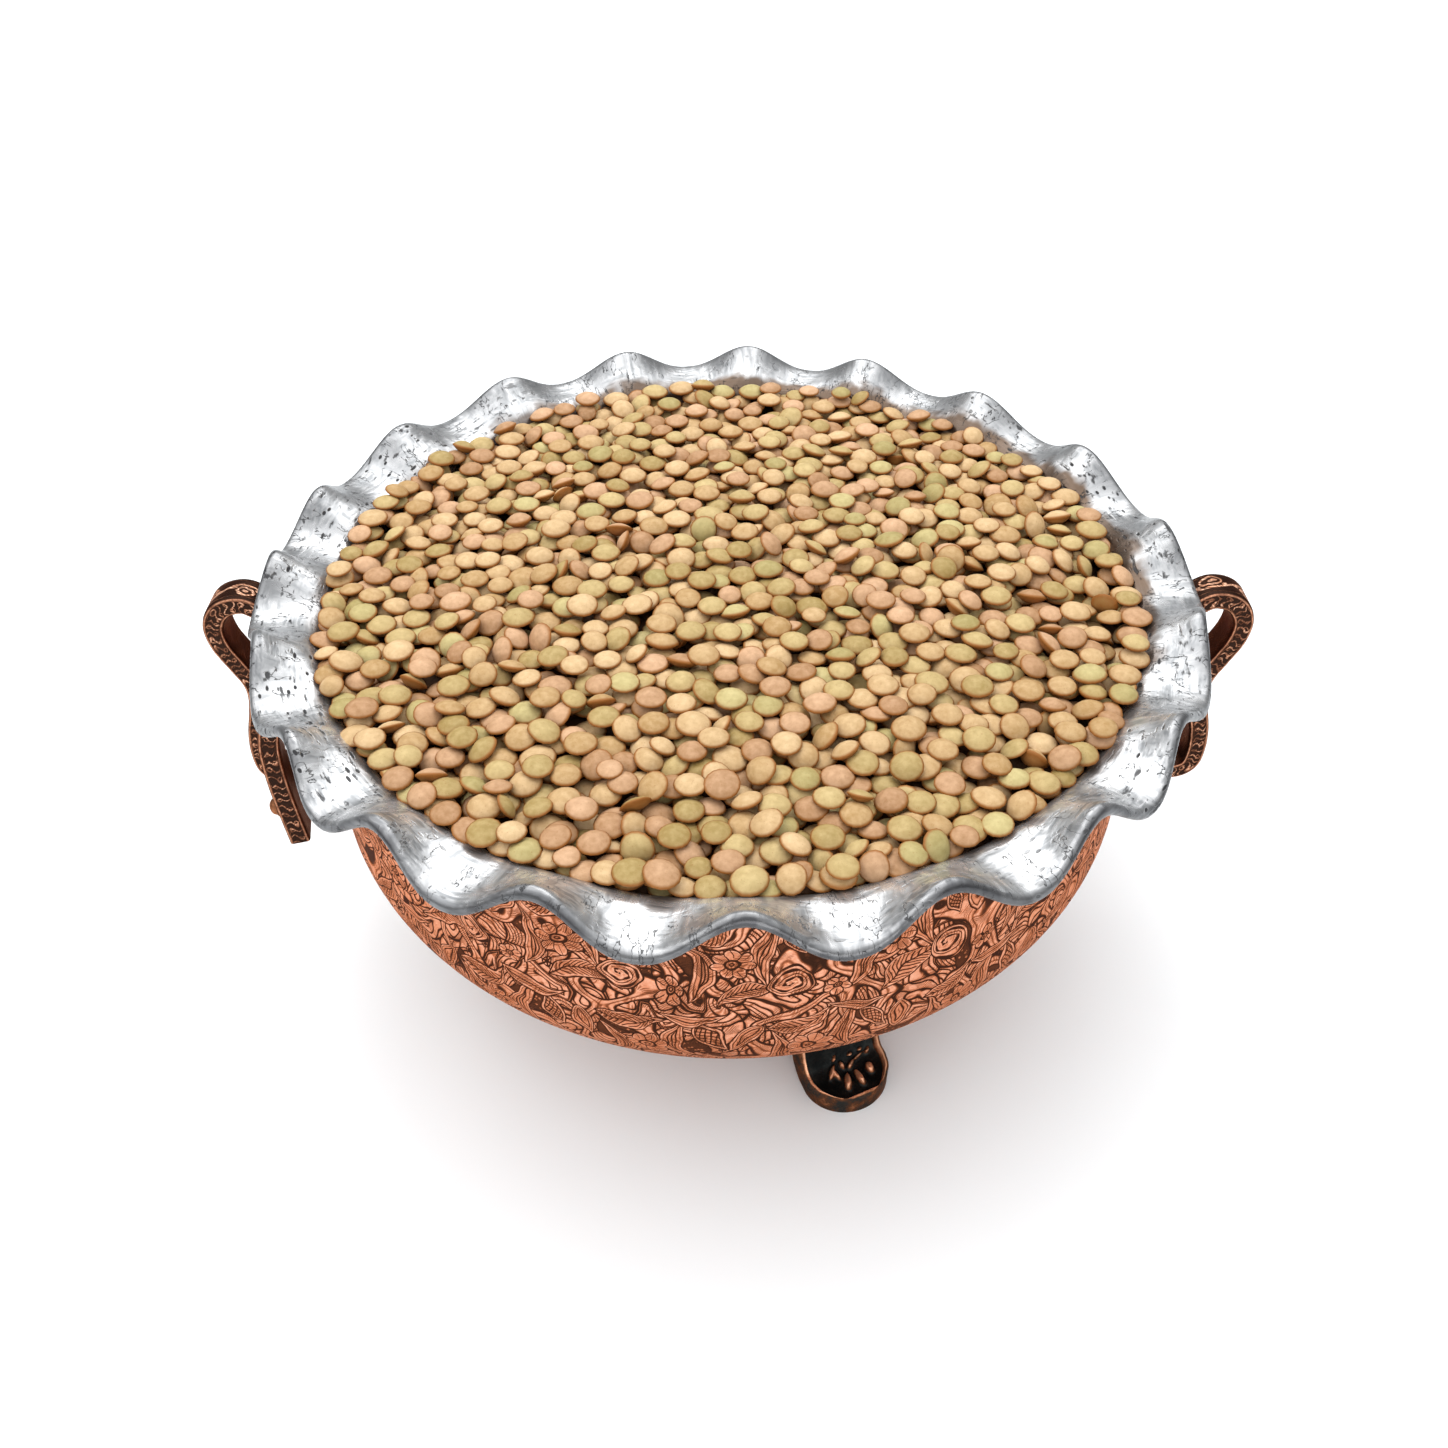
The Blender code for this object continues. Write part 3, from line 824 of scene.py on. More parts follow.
def lathe_mesh(name, angles, rings, heights_map):
    """A closed skin of rings round the upright axis, with a pole at each end and its map in millimetres."""
    count = len(angles)
    radians = np.radians(angles)
    points = []
    for ring in rings:
        ring = np.array(ring)
        points.append(np.column_stack((
            ring[:, 0] * np.cos(radians), ring[:, 0] * np.sin(radians), ring[:, 1],
        )))
    vertices = [tuple(point) for row in points for point in row]
    faces = []
    corners = []
    around = np.append(radians, radians[0] + 2 * math.pi) * BELLY_RADIUS / MM
    for row in range(len(rings) - 1):
        low, high = heights_map[row], heights_map[row + 1]
        for i in range(count):
            j = (i + 1) % count
            faces.append((row * count + i, row * count + j, (row + 1) * count + j, (row + 1) * count + i))
            corners += [(around[i], low), (around[i + 1], low), (around[i + 1], high), (around[i], high)]
    for row, turn in ((0, -1), (len(rings) - 1, 1)):
        pole = len(vertices)
        vertices.append((0, 0, float(np.mean(np.array(rings[row])[:, 1]))))
        for i in range(count):
            face = (row * count + i, row * count + (i + 1) % count, pole)
            faces.append(face[::turn])
            corners += [(around[i], heights_map[row])] * 3
    mesh = bpy.data.meshes.new(name)
    mesh.from_pydata(vertices, [], faces)
    mesh.uv_layers.new(name=PIECE_MAP).data.foreach_set("uv", np.array(corners).ravel())
    mesh.shade_smooth()
    return mesh


def even_depths(rows):
    """Depth of each row down the bowl in millimetres, stretched by how narrow the bowl is there."""
    depths = [0.0]
    for before, after in zip(rows, rows[1:]):
        narrowing = BELLY_RADIUS / max((before.x + after.x) / 2, 4 * MM)
        depths.append(depths[-1] + (after - before).length / MM * narrowing)
    return np.array(depths)


def make_bowl(copper_finish, tin_finish):
    sections = [sum(profile(angle), []) for angle in rim_angles]
    rings = list(zip(*sections))
    depths = even_depths(copper_rows)
    depths = depths[-1] - depths
    tin_depths = -np.arange(1, len(tinned_rows) + 1) * 1.5
    mesh = lathe_mesh("bowl", rim_angles, rings, np.concatenate((depths, tin_depths)))
    lift = crest_share(rim_angles)
    flank = np.append(np.tile(4 * lift * (1 - lift), len(rings)), (0, 0))
    mesh.attributes.new("flank", "FLOAT", "POINT").data.foreach_set("value", flank)
    first_tin_face = (len(copper_rows) - 1) * len(rim_angles)
    last_tin_face = (len(rings) - 1) * len(rim_angles)
    index = np.zeros(len(mesh.polygons), np.int32)
    index[first_tin_face:last_tin_face] = 1
    index[last_tin_face + len(rim_angles):] = 1
    add_piece("bowl_shell", mesh, "bowl", "copper", copper_finish, tin_finish)
    mesh.polygons.foreach_set("material_index", index)


make_bowl(engraved_copper(), tin_finish())

# %% [markdown]
# The handles and the hanging bar beside the left one are bent from one flat strap. Its middle line
# is a smooth curve through a few listed points, and a rounded rectangle is swept along it.

# %% Straps
STRAP_WIDTH = 8.0 * MM
STRAP_THICKNESS = 4.8 * MM
STRAP_ROUNDING = 0.8 * MM
GAP = 0.4 * MM
HANDLES = {"handle_right": 1.0, "handle_left": 180.0}
HANDLE_ROUTE = (
    (90.5, 98.0), (100, 98.9), (106, 100.2), (111, 102.8), (116, 101.4), (118.9, 96.8), (118.7, 91),
    (116.3, 85), (114.2, 80), (113.8, 75.5), (115, 69.5), (116.9, 62.5), (117.7, 56), (117.0, 50.6),
    (113.2, 48.4), (106, 49.6), (98, 50.6), (86.5, 50.8),
)
TAIL_ANGLE = 191.5
TAIL_ROUTE = ((90.5, 94.2), (100, 91.5), (105, 86.5), (107.6, 79), (108.2, 68), (107.9, 57), (107.4, 47.2))
# In millimetres: the step between sections, and one bay of the vine on each kind of strap
STRAP_STEP = 0.8
HANDLE_BAY = 7.0
TAIL_BAY = 9.0

print(len(HANDLE_ROUTE), "points on a handle's route,", len(TAIL_ROUTE), "on the bar's")

# %% [markdown]
# The sweep. The route is made smooth and walked in even steps, and at each step the section is set
# square to it. Where a strap meets the bowl it may not enter it, so it is held off by a hair.

# %% Sweep of a strap
def smooth_route(points, spacing):
    """Evenly spaced points, in metres, on a Catmull-Rom curve through the route in millimetres."""
    route = [Vector(point) * MM for point in points]
    ends = [2 * route[0] - route[1], *route, 2 * route[-1] - route[-2]]
    fine = []
    for before, start, end, after in zip(ends, ends[1:], ends[2:], ends[3:]):
        for t in np.linspace(0, 1, 24, endpoint=False):
            fine.append(0.5 * (
                2 * start + (end - before) * t + (2 * before - 5 * start + 4 * end - after) * t ** 2
                + (3 * start - before - 3 * end + after) * t ** 3
            ))
    fine = np.array(fine + [route[-1]])
    travelled = np.concatenate(([0], np.cumsum(np.linalg.norm(np.diff(fine, axis=0), axis=1))))
    wanted = np.linspace(0, travelled[-1], max(2, round(travelled[-1] / spacing)))
    reach, height = (np.interp(wanted, travelled, fine[:, axis]) for axis in (0, 1))
    return [Vector(point) for point in zip(reach, height)]


def wall_radius(height):
    """Radius of the bowl's outer face at this height, below the flange."""
    if height > BELLY_HEIGHT:
        share = (height - BELLY_HEIGHT) / (NECK_HEIGHT - BELLY_HEIGHT)
        return BELLY_RADIUS + (NECK_RADIUS - BELLY_RADIUS) * share
    return BELLY_RADIUS * math.sqrt(1 - ((BELLY_HEIGHT - height) / BELLY_DEPTH) ** 2)


def strap_section():
    """Points round the strap's section as (out, across), and how far along the edge each one is."""
    half_t = STRAP_THICKNESS / 2 - STRAP_ROUNDING
    half_w = STRAP_WIDTH / 2 - STRAP_ROUNDING
    corners = ((1, -1), (1, 1), (-1, 1), (-1, -1))
    points = []
    for corner, (out, across) in enumerate(corners):
        for turn in (0, 30, 60, 90):
            around = math.radians(corner * 90 - 90 + turn)
            points.append(Vector((
                out * half_t + STRAP_ROUNDING * math.cos(around),
                across * half_w + STRAP_ROUNDING * math.sin(around),
            )))
        start = points[-1]
        next_out, next_across = corners[(corner + 1) % 4]
        outwards = Vector((math.cos(around), math.sin(around)))
        end = Vector((next_out * half_t, next_across * half_w)) + STRAP_ROUNDING * outwards
        points += [start.lerp(end, share) for share in (0.2, 0.4, 0.6, 0.8)]
    lengths = [0.0]
    for before, after in zip(points, points[1:] + points[:1]):
        lengths.append(lengths[-1] + (after - before).length)
    return points, lengths


print("strap section of", len(strap_section()[0]), "points")


def tube_faces(rows, count):
    """Quads between neighbouring rings of this many points, then one face over each end."""
    faces = []
    for row in range(rows - 1):
        for i in range(count):
            j = (i + 1) % count
            faces.append((row * count + i, (row + 1) * count + i, (row + 1) * count + j, row * count + j))
    last = (rows - 1) * count
    faces.append(tuple(range(count)))
    faces.append(tuple(range(last, last + count))[::-1])
    return faces


def strap_mesh(name, route, angle):
    centre = smooth_route(route, STRAP_STEP * MM)
    section, lengths = strap_section()
    turn = Matrix.Rotation(math.radians(angle), 3, "Z")
    vertices = []
    for i, here in enumerate(centre):
        along = (centre[min(i + 1, len(centre) - 1)] - centre[max(i - 1, 0)]).normalized()
        outward = Vector((-along.y, along.x))
        for out, across in section:
            height = here.y + outward.y * out
            radius = max(here.x + outward.x * out, wall_radius(height) + GAP)
            vertices.append(turn @ Vector((radius, across, height)))
    corners = []
    for row in range(len(centre) - 1):
        near, far = row * STRAP_STEP, (row + 1) * STRAP_STEP
        for low, high in zip(lengths, lengths[1:]):
            corners += [(near, low / MM), (far, low / MM), (far, high / MM), (near, high / MM)]
    # Both ends of the strap are plain, so they are mapped to one place off the pattern
    corners += [(-5, 0)] * (2 * len(section))
    mesh = bpy.data.meshes.new(name)
    mesh.from_pydata(vertices, [], tube_faces(len(centre), len(section)))
    mesh.uv_layers.new(name=PIECE_MAP).data.foreach_set("uv", np.array(corners).ravel())
    mesh.shade_smooth()
    mesh.set_sharp_from_angle(angle=math.radians(50))
    return mesh


for node, angle in HANDLES.items():
    strap = strap_mesh(node, HANDLE_ROUTE, angle)
    add_piece(node + "_strap", strap, node, "copper", strap_copper("handle", HANDLE_BAY))
strap = strap_mesh("tail", TAIL_ROUTE, TAIL_ANGLE)
add_piece("tail_strap", strap, "tail_left", "copper", strap_copper("tail", TAIL_BAY))

# %% [markdown]
# A rivet with a low round head is set through the hanging bar. It is a lathe shape: a thin collar
# and a dome, turned about an axis that points outwards.

# %% Rivet
RIVET_HEIGHT = 56.8 * MM
RIVET_RADIUS = 2.6 * MM
RIVET_SEAT = 110.35 * MM
RIVET_RUBBED = 0.55
RIVET_STEPS = 32


def make_rivet():
    profile = [(RIVET_RADIUS, -0.6 * MM), (RIVET_RADIUS, 0.35 * MM), (RIVET_RADIUS * 0.9, 0.6 * MM)]
    for turn in np.linspace(0, 80, 9):
        around = math.radians(turn)
        profile.append((RIVET_RADIUS * 0.84 * math.cos(around), (0.6 + 1.7 * math.sin(around)) * MM))
    angles = np.linspace(0, 360, RIVET_STEPS, endpoint=False)
    rings = [[point] * RIVET_STEPS for point in profile]
    mesh = lathe_mesh("rivet", angles, rings, np.arange(len(profile)) * 1.0)
    round_bowl = Matrix.Rotation(math.radians(TAIL_ANGLE), 4, "Z")
    outwards = Matrix.Translation((RIVET_SEAT, 0, RIVET_HEIGHT)) @ Matrix.Rotation(math.radians(90), 4, "Y")
    mesh.transform(round_bowl @ outwards)
    add_piece("tail_rivet", mesh, "tail_left", "copper", patina_copper("rivet", RIVET_RUBBED))


make_rivet()

# %% [markdown]
# The feet. Each is a dished tongue bent from the bowl down to a rounded toe, with a raised rim all
# round and a spray of drop-shaped ridges beaten up in its hollow. Only one foot shows in the
# photograph; the other two are taken to be like it. The surface is worked out on a fine grid: how
# far along the tongue, and how far to the side.

# %% Feet
FOOT_ANGLES = (-64.8, 55.2, 175.2)
FOOT_HALF_WIDTH = 10.8 * MM
FOOT_WALL = 3.2 * MM
FOOT_RIM = 2.6 * MM
FOOT_ROUTE = ((76.6, 0), (72, 0), (67, 0), (62.4, 1.6), (59.2, 6), (57.4, 12), (56.6, 19), (56.0, 27.2))
FOOT_TOE_LENGTH = 10.0 * MM
FOOT_STEP = 0.35 * MM
# Shares of the half width at which the tongue has points: closer together on its rim
RIM_SHARES = np.linspace(0.76, 1, 13)
FOOT_SIDES = np.concatenate((-RIM_SHARES[::-1], np.linspace(-0.74, 0.74, 51), RIM_SHARES))
# The spray of ridges is turned by this much, about a point this far from the toe
SPRAY_TURN = 23
SPRAY_MIDDLE = 10.0
# Ridges: how far to the side and from the toe their middle is, length, width (mm), turn (degrees), height
RIDGES = (
    (0.4, 6.4, 6.4, 1.9, 0, 1.5), (3.4, 7.4, 6.4, 1.8, -24, 1.5), (6.0, 10.2, 4.6, 2.2, -18, 1.3),
    (-3.6, 9.4, 7.6, 1.5, 8, 1.0), (-2.4, 8.6, 5.2, 1.2, -30, 0.9), (-1.2, 11.8, 4.4, 1.2, -26, 1.1),
    (1.4, 12.0, 4.6, 1.2, 22, 1.1), (3.0, 14.4, 4.6, 1.2, 30, 1.0), (-4.0, 15.0, 4.0, 1.0, 0, 1.0),
    (0.2, 16.0, 2.4, 1.6, 0, 1.0), (5.0, 16.4, 5.0, 1.1, -8, 1.0), (2.6, 17.6, 2.4, 1.2, 10, 0.9),
)

print(len(RIDGES), "ridges on each foot")


def foot_width(travelled):
    toe = max(0.0, 1 - travelled / FOOT_TOE_LENGTH)
    return FOOT_HALF_WIDTH * math.sqrt(1 - toe ** 2)


def smooth_step(share):
    share = min(1.0, max(0.0, share))
    return share * share * (3 - 2 * share)


def ridge_height(aside, travelled):
    """Height of the drop-shaped ridges here, in metres."""
    total = 0.0
    spray = math.radians(SPRAY_TURN)
    from_middle = travelled / MM - SPRAY_MIDDLE
    sprayed_x = aside / MM * math.cos(spray) - from_middle * math.sin(spray)
    sprayed_y = aside / MM * math.sin(spray) + from_middle * math.cos(spray) + SPRAY_MIDDLE
    for right, away, long, wide, turn, height in RIDGES:
        x, y = sprayed_x - right, sprayed_y - away
        angle = math.radians(turn)
        along = (x * math.sin(angle) + y * math.cos(angle)) / (long / 2)
        across = (x * math.cos(angle) - y * math.sin(angle)) / (wide / 2 * (1.15 - 0.3 * along))
        total = max(total, height * smooth_step(1.5 * (1 - math.hypot(along, across))))
    return total * MM


def foot_point(side, travelled):
    """(lift over the underside, how rubbed plus painted highlight) at this share of the width and distance
    from the toe.
    """
    half = foot_width(max(travelled, 0.002 * MM))
    edge = smooth_step((abs(side) - 0.80) / 0.10)
    toe = smooth_step(1 - (travelled / MM - 1.0) / 0.9)
    rim = max(edge, toe)
    dish = 0.3 * (min(abs(side), 0.8) / 0.8) ** 2
    ridge = ridge_height(side * half, travelled) * (1 - rim)
    fall = 0.9 * MM * max(0.0, (abs(side) - 0.86) / 0.14) ** 2
    fall += 0.8 * MM * max(0.0, 1 - travelled / (0.8 * MM)) ** 2
    lift = FOOT_WALL + FOOT_RIM * max(rim, dish) + ridge - fall
    from_outline = min(travelled, (1 - abs(side)) * half) / MM
    # The crown of the rim is painted bright: a painted highlight, added to the wear of the rim.
    crown = smooth_step(1.4 - abs(from_outline - 1.1) / 0.5)
    rubbed = 0.06 + 0.28 * rim + 0.75 * crown + 0.95 * min(1, ridge / MM)
    return lift, rubbed

# %% [markdown]
# The foot's skin. The underside is a flat row of points and the top follows the lift, so each row
# is one closed ring, and rings are joined as on the bowl. Points nearer the bowl than a hair are
# lowered, so that the foot meets its underside.

# %% Foot mesh
def foot_mesh(name, angle):
    route = smooth_route(FOOT_ROUTE, FOOT_STEP)
    route[1:1] = [route[0] - Vector((reach, 0)) * MM for reach in (0.01, 0.04, 0.09, 0.16, 0.24)]
    turn = Matrix.Rotation(math.radians(angle), 3, "Z")
    vertices = []
    rubbed_values = []
    travelled = 0.0
    for i, here in enumerate(route):
        travelled += (here - route[max(i - 1, 0)]).length
        along = (route[min(i + 1, len(route) - 1)] - route[max(i - 1, 0)]).normalized()
        half = foot_width(max(travelled, 0.002 * MM))
        ring = []
        for side in FOOT_SIDES:
            lift, rubbed = foot_point(side, travelled)
            low = Vector((here.x, half * side, max(0.0, here.y)))
            high = Vector((here.x + abs(along.y) * lift, half * side, here.y + abs(along.x) * lift))
            ring.append((low, high, rubbed))
        ring = [(low, 0.36) for low, _, _ in ring] + [(high, rubbed) for _, high, rubbed in ring[::-1]]
        for point, rubbed in ring:
            radius = math.hypot(point.x, point.y)
            under_bowl = BELLY_HEIGHT - BELLY_DEPTH * math.sqrt(1 - (radius / BELLY_RADIUS) ** 2)
            point.z = min(point.z, under_bowl - GAP)
            vertices.append(turn @ point)
            rubbed_values.append(rubbed)
    mesh = bpy.data.meshes.new(name)
    mesh.from_pydata(vertices, [], tube_faces(len(route), 2 * len(FOOT_SIDES)))
    mesh.attributes.new("rubbed", "FLOAT", "POINT").data.foreach_set("value", rubbed_values)
    mesh.shade_smooth()
    mesh.set_sharp_from_angle(angle=math.radians(55))
    return mesh


foot_copper = patina_copper("foot")
for number, angle in enumerate(FOOT_ANGLES, 1):
    node = f"foot_{number}"
    add_piece(node + "_tongue", foot_mesh(node, angle), node, "copper", foot_copper)

# %% [markdown]
# The lentils. In the real bowl they were poured, so each grain lies in the lowest hollow that it
# found, leaning on its neighbours. The same is done here without a physics engine: a height map of
# the heap is kept, and each grain in turn is tried at several places and leanings, dropped where
# it comes to rest lowest, and then added to the map.

# %% Grain shapes
HEAP_EDGE_HEIGHT = 105.2 * MM
HEAP_MIDDLE_HEIGHT = 108.9 * MM
HEAP_RADIUS = 90.0 * MM
BANKED_UP = 1.9 * MM
BANK_STARTS = 85.0 * MM
# Widths in millimetres, and thickness as a share of the width
USUAL_WIDTH = 6.4
WIDTH_SPREAD = 0.45
WIDTH_LIMITS = (5.3, 7.4)
THICKNESS_SHARES = (0.42, 0.53)
GRAIN_ROUND = 16
GRAIN_RINGS = (0.36, 0.66, 0.88, 1.0)
RIM_BLUNTNESS = 0.07
random = np.random.default_rng(11)


def grain_points(width, thickness):
    """Points of one lens lying flat: top middle, rings out to the rim, rings in below, bottom middle."""
    angles = np.linspace(0, 2 * math.pi, GRAIN_ROUND, endpoint=False)
    lumps = sum(
        random.uniform(0, size) * np.cos(order * angles + random.uniform(0, 6.3))
        for order, size in ((2, 0.05), (3, 0.025), (5, 0.012))
    )
    points = [(0, 0, thickness / 2)]
    for side in (1, -1):
        rings = GRAIN_RINGS if side == 1 else GRAIN_RINGS[-1::-1]
        crown = random.uniform(0.85, 1.1)
        for share in rings:
            bulge = (1 - share ** 2.1) * (1 - RIM_BLUNTNESS) + RIM_BLUNTNESS
            height = np.full(GRAIN_ROUND, side * thickness / 2 * crown * bulge)
            radius = width / 2 * share * (1 + lumps * share)
            points += list(zip(radius * np.cos(angles), radius * np.sin(angles), height))
        if side == -1:
            points.append((0, 0, -thickness / 2 * crown))
        else:
            points[0] = (0, 0, thickness / 2 * crown)
    return np.array(points)


def grain_faces():
    rows = 2 * len(GRAIN_RINGS)
    faces = []
    for i in range(GRAIN_ROUND):
        j = (i + 1) % GRAIN_ROUND
        faces.append((0, 1 + i, 1 + j))
        for row in range(rows - 1):
            a, b = 1 + row * GRAIN_ROUND, 1 + (row + 1) * GRAIN_ROUND
            faces.append((a + i, b + i, b + j, a + j))
        last = 1 + (rows - 1) * GRAIN_ROUND
        faces.append((last + i, last + GRAIN_ROUND, last + j))
    return faces


print("a grain has", len(grain_faces()), "faces")

# %% [markdown]
# The pour. The map starts as the top of the core, a little below the heap's top, with the bowl's
# shoulder round it. A grain settles a little into the ones below it, as soft shadows hide a small
# overlap, and a hole that is left may be closed by a grain that stands out of the heap. The pour ends
# after many misses in a row.

# %% Heap of grains
MAP_STEP = 0.45 * MM
MAP_HALF = 100 * MM
FILL_DEPTH = 5.6 * MM
PLACES_TRIED = 48
PLACES_KEPT = 3
LEANINGS_TRIED = 5
LEAN_SPREAD = 0.48
NEAR_WALL_SHARE = 0.25
MOST_MISSES = 220
# Grains settle until this share of their surface is clear of the grains below
SETTLED = 0.95
# A grain may stand out of the heap by this share of the depth of the hole that it fills
OVER_A_HOLE = 0.35
# A flat place is preferred to a leaning one that is lower by less than this, for each radian
LEAN_COST = 0.25 * MM
# Past the shoulder by this much, no grain comes to rest
WALL_STARTS = 4.5 * MM


def heap_top(radius):
    share = np.minimum(1, radius / HEAP_RADIUS)
    banked = np.clip((radius - BANK_STARTS) / (HEAP_RADIUS - BANK_STARTS), 0, 1)
    return HEAP_MIDDLE_HEIGHT + (HEAP_EDGE_HEIGHT - HEAP_MIDDLE_HEIGHT) * share ** 2 + BANKED_UP * banked


def start_map():
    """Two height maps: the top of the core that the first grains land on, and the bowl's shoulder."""
    cells = np.arange(-MAP_HALF, MAP_HALF, MAP_STEP)
    x, y = np.meshgrid(cells, cells, indexing="ij")
    radius = np.hypot(x, y)
    surface = heap_top(radius) - FILL_DEPTH
    trough = (crest_angles[0] + crest_angles[1]) / 2
    inner = [flange_line(trough, t) for t in np.linspace(0, 1, 20)]
    shoulder = [point + normal * SHEET / 2 for point, normal, _ in inner]
    wall = np.interp(radius, [p.x for p in shoulder], [p.y for p in shoulder], left=0)
    wall[radius > shoulder[0].x + WALL_STARTS] = 1.0
    return surface, wall


def turned(points, lean, heading, spin):
    """The grain's points after a spin about its own axis and a lean towards the heading."""
    rotation = (
        Matrix.Rotation(heading, 3, "Z") @ Matrix.Rotation(lean, 3, "X") @ Matrix.Rotation(spin, 3, "Z")
    )
    return points @ np.array(rotation).T


def cells_of(points, place):
    index = np.round((points[:, :2] + place + MAP_HALF) / MAP_STEP).astype(int)
    return index[:, 0], index[:, 1]


def filled_out(points):
    """More points on the lens between its rings, so that every cell of the map under it is touched."""
    rings = points[1:-1].reshape(-1, GRAIN_ROUND, 3)
    between = (rings[:-1] + rings[1:]) / 2
    sideways = (rings + np.roll(rings, 1, axis=1)) / 2
    crosswise = (between + np.roll(between, 1, axis=1)) / 2
    near_pole = (rings[[0, -1]] + points[[0, -1]][:, None]) / 2
    added = [part.reshape(-1, 3) for part in (between, sideways, crosswise, near_pole)]
    return np.concatenate([points, *added])


print("a map of", round(2 * MAP_HALF / MAP_STEP), "cells a side")

# %% [markdown]
# Each turn of the loop shapes one grain, looks for the deepest of many chance places, tries a few
# leanings there, and keeps the one that rests lowest.

# %% Pour
def pour():
    """The points of every grain, in place, from the bottom of the heap to its top."""
    surface, wall = start_map()
    grains = []
    misses = 0
    while misses < MOST_MISSES:
        width = np.clip(random.normal(USUAL_WIDTH, WIDTH_SPREAD), *WIDTH_LIMITS) * MM
        thickness = width * random.uniform(*THICKNESS_SHARES)
        shape = grain_points(width, thickness)
        probe = filled_out(shape)
        angles = random.uniform(0, 2 * math.pi, PLACES_TRIED)
        reaches = HEAP_RADIUS * np.sqrt(random.uniform(0, 1, PLACES_TRIED))
        beside_wall = HEAP_RADIUS - width * random.uniform(0.05, 0.5, PLACES_TRIED)
        reaches = np.where(random.random(PLACES_TRIED) < NEAR_WALL_SHARE, beside_wall, reaches)
        places = np.column_stack((reaches * np.cos(angles), reaches * np.sin(angles)))
        index = np.round((places + MAP_HALF) / MAP_STEP).astype(int)
        depth = np.maximum(surface, wall)[index[:, 0], index[:, 1]] - heap_top(reaches)
        best = None
        settled = int(SETTLED * len(probe))
        for nearest in np.argsort(depth)[:PLACES_KEPT]:
            place, reach, hole = places[nearest], reaches[nearest], -depth[nearest]
            for trial in range(LEANINGS_TRIED):
                lean = 0.0 if trial == 0 else abs(random.normal(0, LEAN_SPREAD))
                heading = random.uniform(0, 2 * math.pi)
                spin = random.uniform(0, 2 * math.pi)
                posed = turned(probe, lean, heading, spin)
                rows, columns = cells_of(posed, place)
                rises = surface[rows, columns] - posed[:, 2]
                rest = np.partition(rises, settled)[settled]
                if reach > BANK_STARTS - width:
                    rest = max(rest, np.max(wall[rows, columns] - posed[:, 2]))
                height = rest - heap_top(reach) + LEAN_COST * lean - OVER_A_HOLE * hole
                if best is None or height < best[0]:
                    best = (height, rest, place, posed, (lean, heading, spin))
        height, rest, place, posed, pose = best
        if height > 0:
            misses += 1
            continue
        misses = 0
        rows, columns = cells_of(posed, place)
        np.maximum.at(surface, (rows, columns), posed[:, 2] + rest)
        grains.append(turned(shape, *pose) + (*place, rest))
    return grains


grains = pour()
print(len(grains), "grains poured")

# %% [markdown]
# Grains of like skin are joined into one mesh each. A grain keeps two numbers with it for the
# finish: its own shade, and how near each point is to the rim, where the seed coat is darker and
# painted shade darkens the rim and underside further.

# %% Lentil pieces
# Each skin: its darkest and lightest seed coat, and its share of the heap
SKINS = {
    "tan": ((0.40, 0.24, 0.09), (0.67, 0.475, 0.26), 0.40),
    "pinkish": ((0.35, 0.185, 0.08), (0.64, 0.40, 0.235), 0.25),
    "khaki": ((0.32, 0.22, 0.068), (0.57, 0.43, 0.20), 0.26),
    "green": ((0.33, 0.26, 0.09), (0.55, 0.46, 0.21), 0.09),
}
RIM_COAT_AND_SHADE = (0.29, 0.108, 0.020)
GAP_SHADE = (0.020, 0.010, 0.005)


def seed_coat(skin, darkest, lightest):
    """Matt skin, mottled and dusty, each grain in its own shade, darker along its rim and underside partly
    as painted shade.
    """
    finish, shader = open_finish("lentil_" + skin)
    place = object_place()
    shade = stored("shade")
    mottle = noise(place, 1.3, 3.0)
    specks = noise(place, 0.28, 2.0)
    share = kept(shade * 0.75 + (mottle - 0.5) * 1.1 + 0.12)
    colour = colour_mix(share, darkest, lightest)
    near_rim = stored("near_rim")
    # Near the rim and on the underside the coat darkens: partly its own colour, partly painted shade.
    rim = kept((near_rim - 0.85) * 7.0) * (0.65 + mottle * 0.65)
    colour = colour_mix(kept(rim + (near_rim - 0.5) * 0.3), colour, RIM_COAT_AND_SHADE)
    colour = colour_mix(kept((specks - 0.62) * 3.5), colour, RIM_COAT_AND_SHADE)
    height = mottle * 0.5 + specks * 0.25
    finish_with(shader, colour, 0.58, 0.0, height, 0.12 * MM)
    shader.inputs["Specular IOR Level"].default_value = 0.3
    return finish


def core_coat():
    """The deep grains seen through the gaps: painted dark as shade, and broken into round lumps."""
    finish, shader = open_finish("lentil_core")
    place = object_place()
    lumps = cells(place, 4.5) * 4.5
    # The core is painted nearly black: painted shade of the deep grains.
    colour = colour_mix(noise(place, 3.0, 2.0) * 0.4, GAP_SHADE, RIM_COAT_AND_SHADE)
    finish_with(shader, colour, 0.8, 0.0, 1 - lumps * 0.5, 1.0 * MM)
    return finish


print("skins:", ", ".join(SKINS))

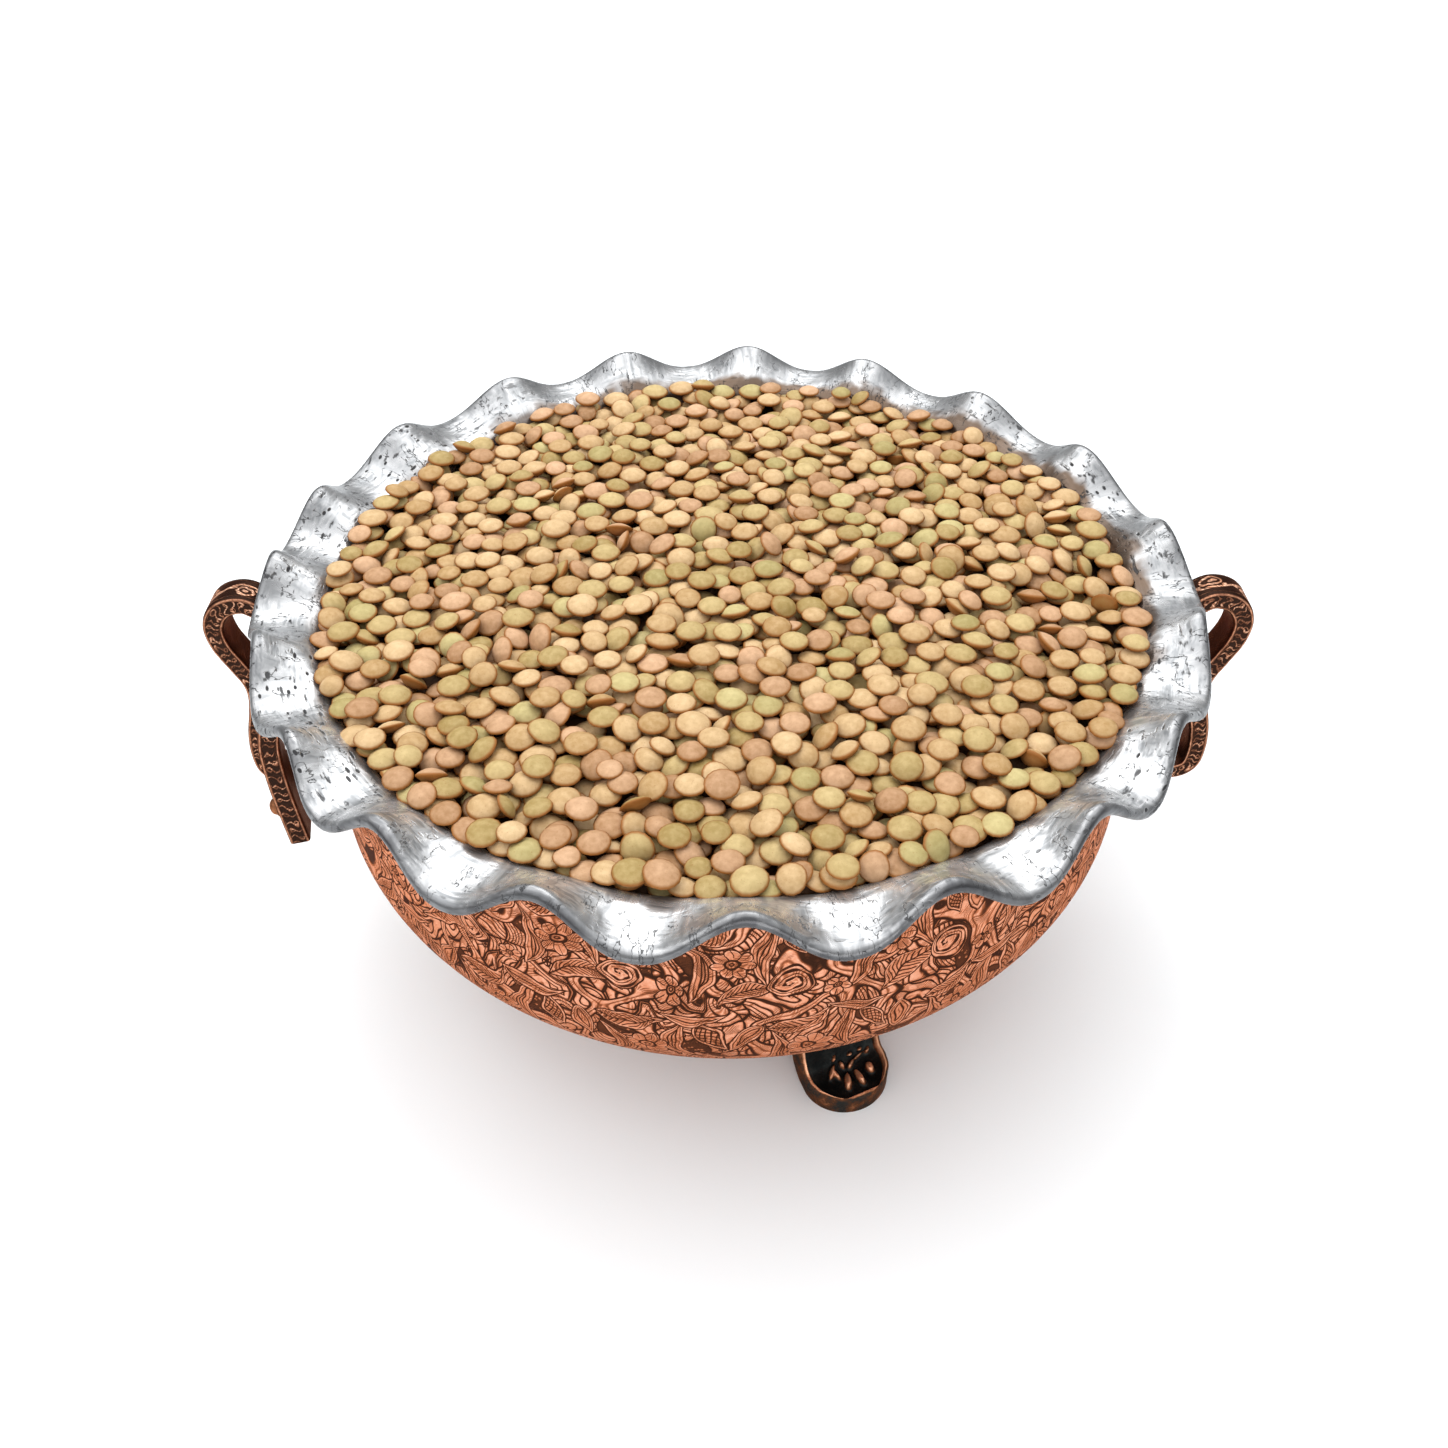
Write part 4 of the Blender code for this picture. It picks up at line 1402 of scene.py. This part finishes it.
# %% [markdown]
# The core is a turned shape that stops where the poured grains begin, so no light gets through.
# Every grain has the same faces, so a whole kind is made by repeating one list of them.

# %% Core and grains
CORE_STEPS = 96


def make_core():
    """The filled body of the bowl under the grains, as one turned shape."""
    clear = SHEET + 0.5 * MM
    profile = [belly_point(share, clear) for share in np.linspace(0.96, 0, 24)]
    profile.append(Vector((NECK_RADIUS - clear, NECK_HEIGHT - 2 * MM)))
    for radius in np.linspace(NECK_RADIUS - clear - 0.2 * MM, 2 * MM, 40):
        profile.append(Vector((radius, float(heap_top(min(radius, BANK_STARTS))) - FILL_DEPTH)))
    angles = np.linspace(0, 360, CORE_STEPS, endpoint=False)
    rings = [[point] * CORE_STEPS for point in profile]
    mesh = lathe_mesh("core", angles, rings, np.arange(len(profile)) * 1.0)
    add_piece("lentils_core", mesh, "lentils", "lentil_skin", core_coat())


def grain_kind_mesh(name, members):
    """One mesh of all these grains, with each point's shade and nearness to the rim."""
    faces = grain_faces()
    points_each = 2 + 2 * len(GRAIN_RINGS) * GRAIN_ROUND
    # The underside counts as rim, so that it is darkened as painted shade under the grains
    near_rim = np.concatenate(([0], np.repeat(GRAIN_RINGS + (1.0, 0.97, 0.95, 0.95), GRAIN_ROUND), [0.95]))
    vertices = np.concatenate(members)
    mesh = bpy.data.meshes.new(name)
    all_faces = []
    for start in range(0, len(vertices), points_each):
        all_faces += [tuple(start + corner for corner in face) for face in faces]
    mesh.from_pydata([tuple(point) for point in vertices], [], all_faces)
    shade = np.repeat(random.uniform(0, 1, len(members)), points_each)
    for attribute, values in (("shade", shade), ("near_rim", np.tile(near_rim, len(members)))):
        mesh.attributes.new(attribute, "FLOAT", "POINT").data.foreach_set("value", values)
    mesh.shade_smooth()
    return mesh


make_core()
kinds = random.choice(len(SKINS), len(grains), p=[share for _, _, share in SKINS.values()])
for number, (skin, (darkest, lightest, _)) in enumerate(SKINS.items()):
    members = [grain for grain, kind in zip(grains, kinds) if kind == number]
    finish = seed_coat(skin, darkest, lightest)
    add_piece("lentils_" + skin, grain_kind_mesh(skin, members), "lentils", "lentil_skin", finish)
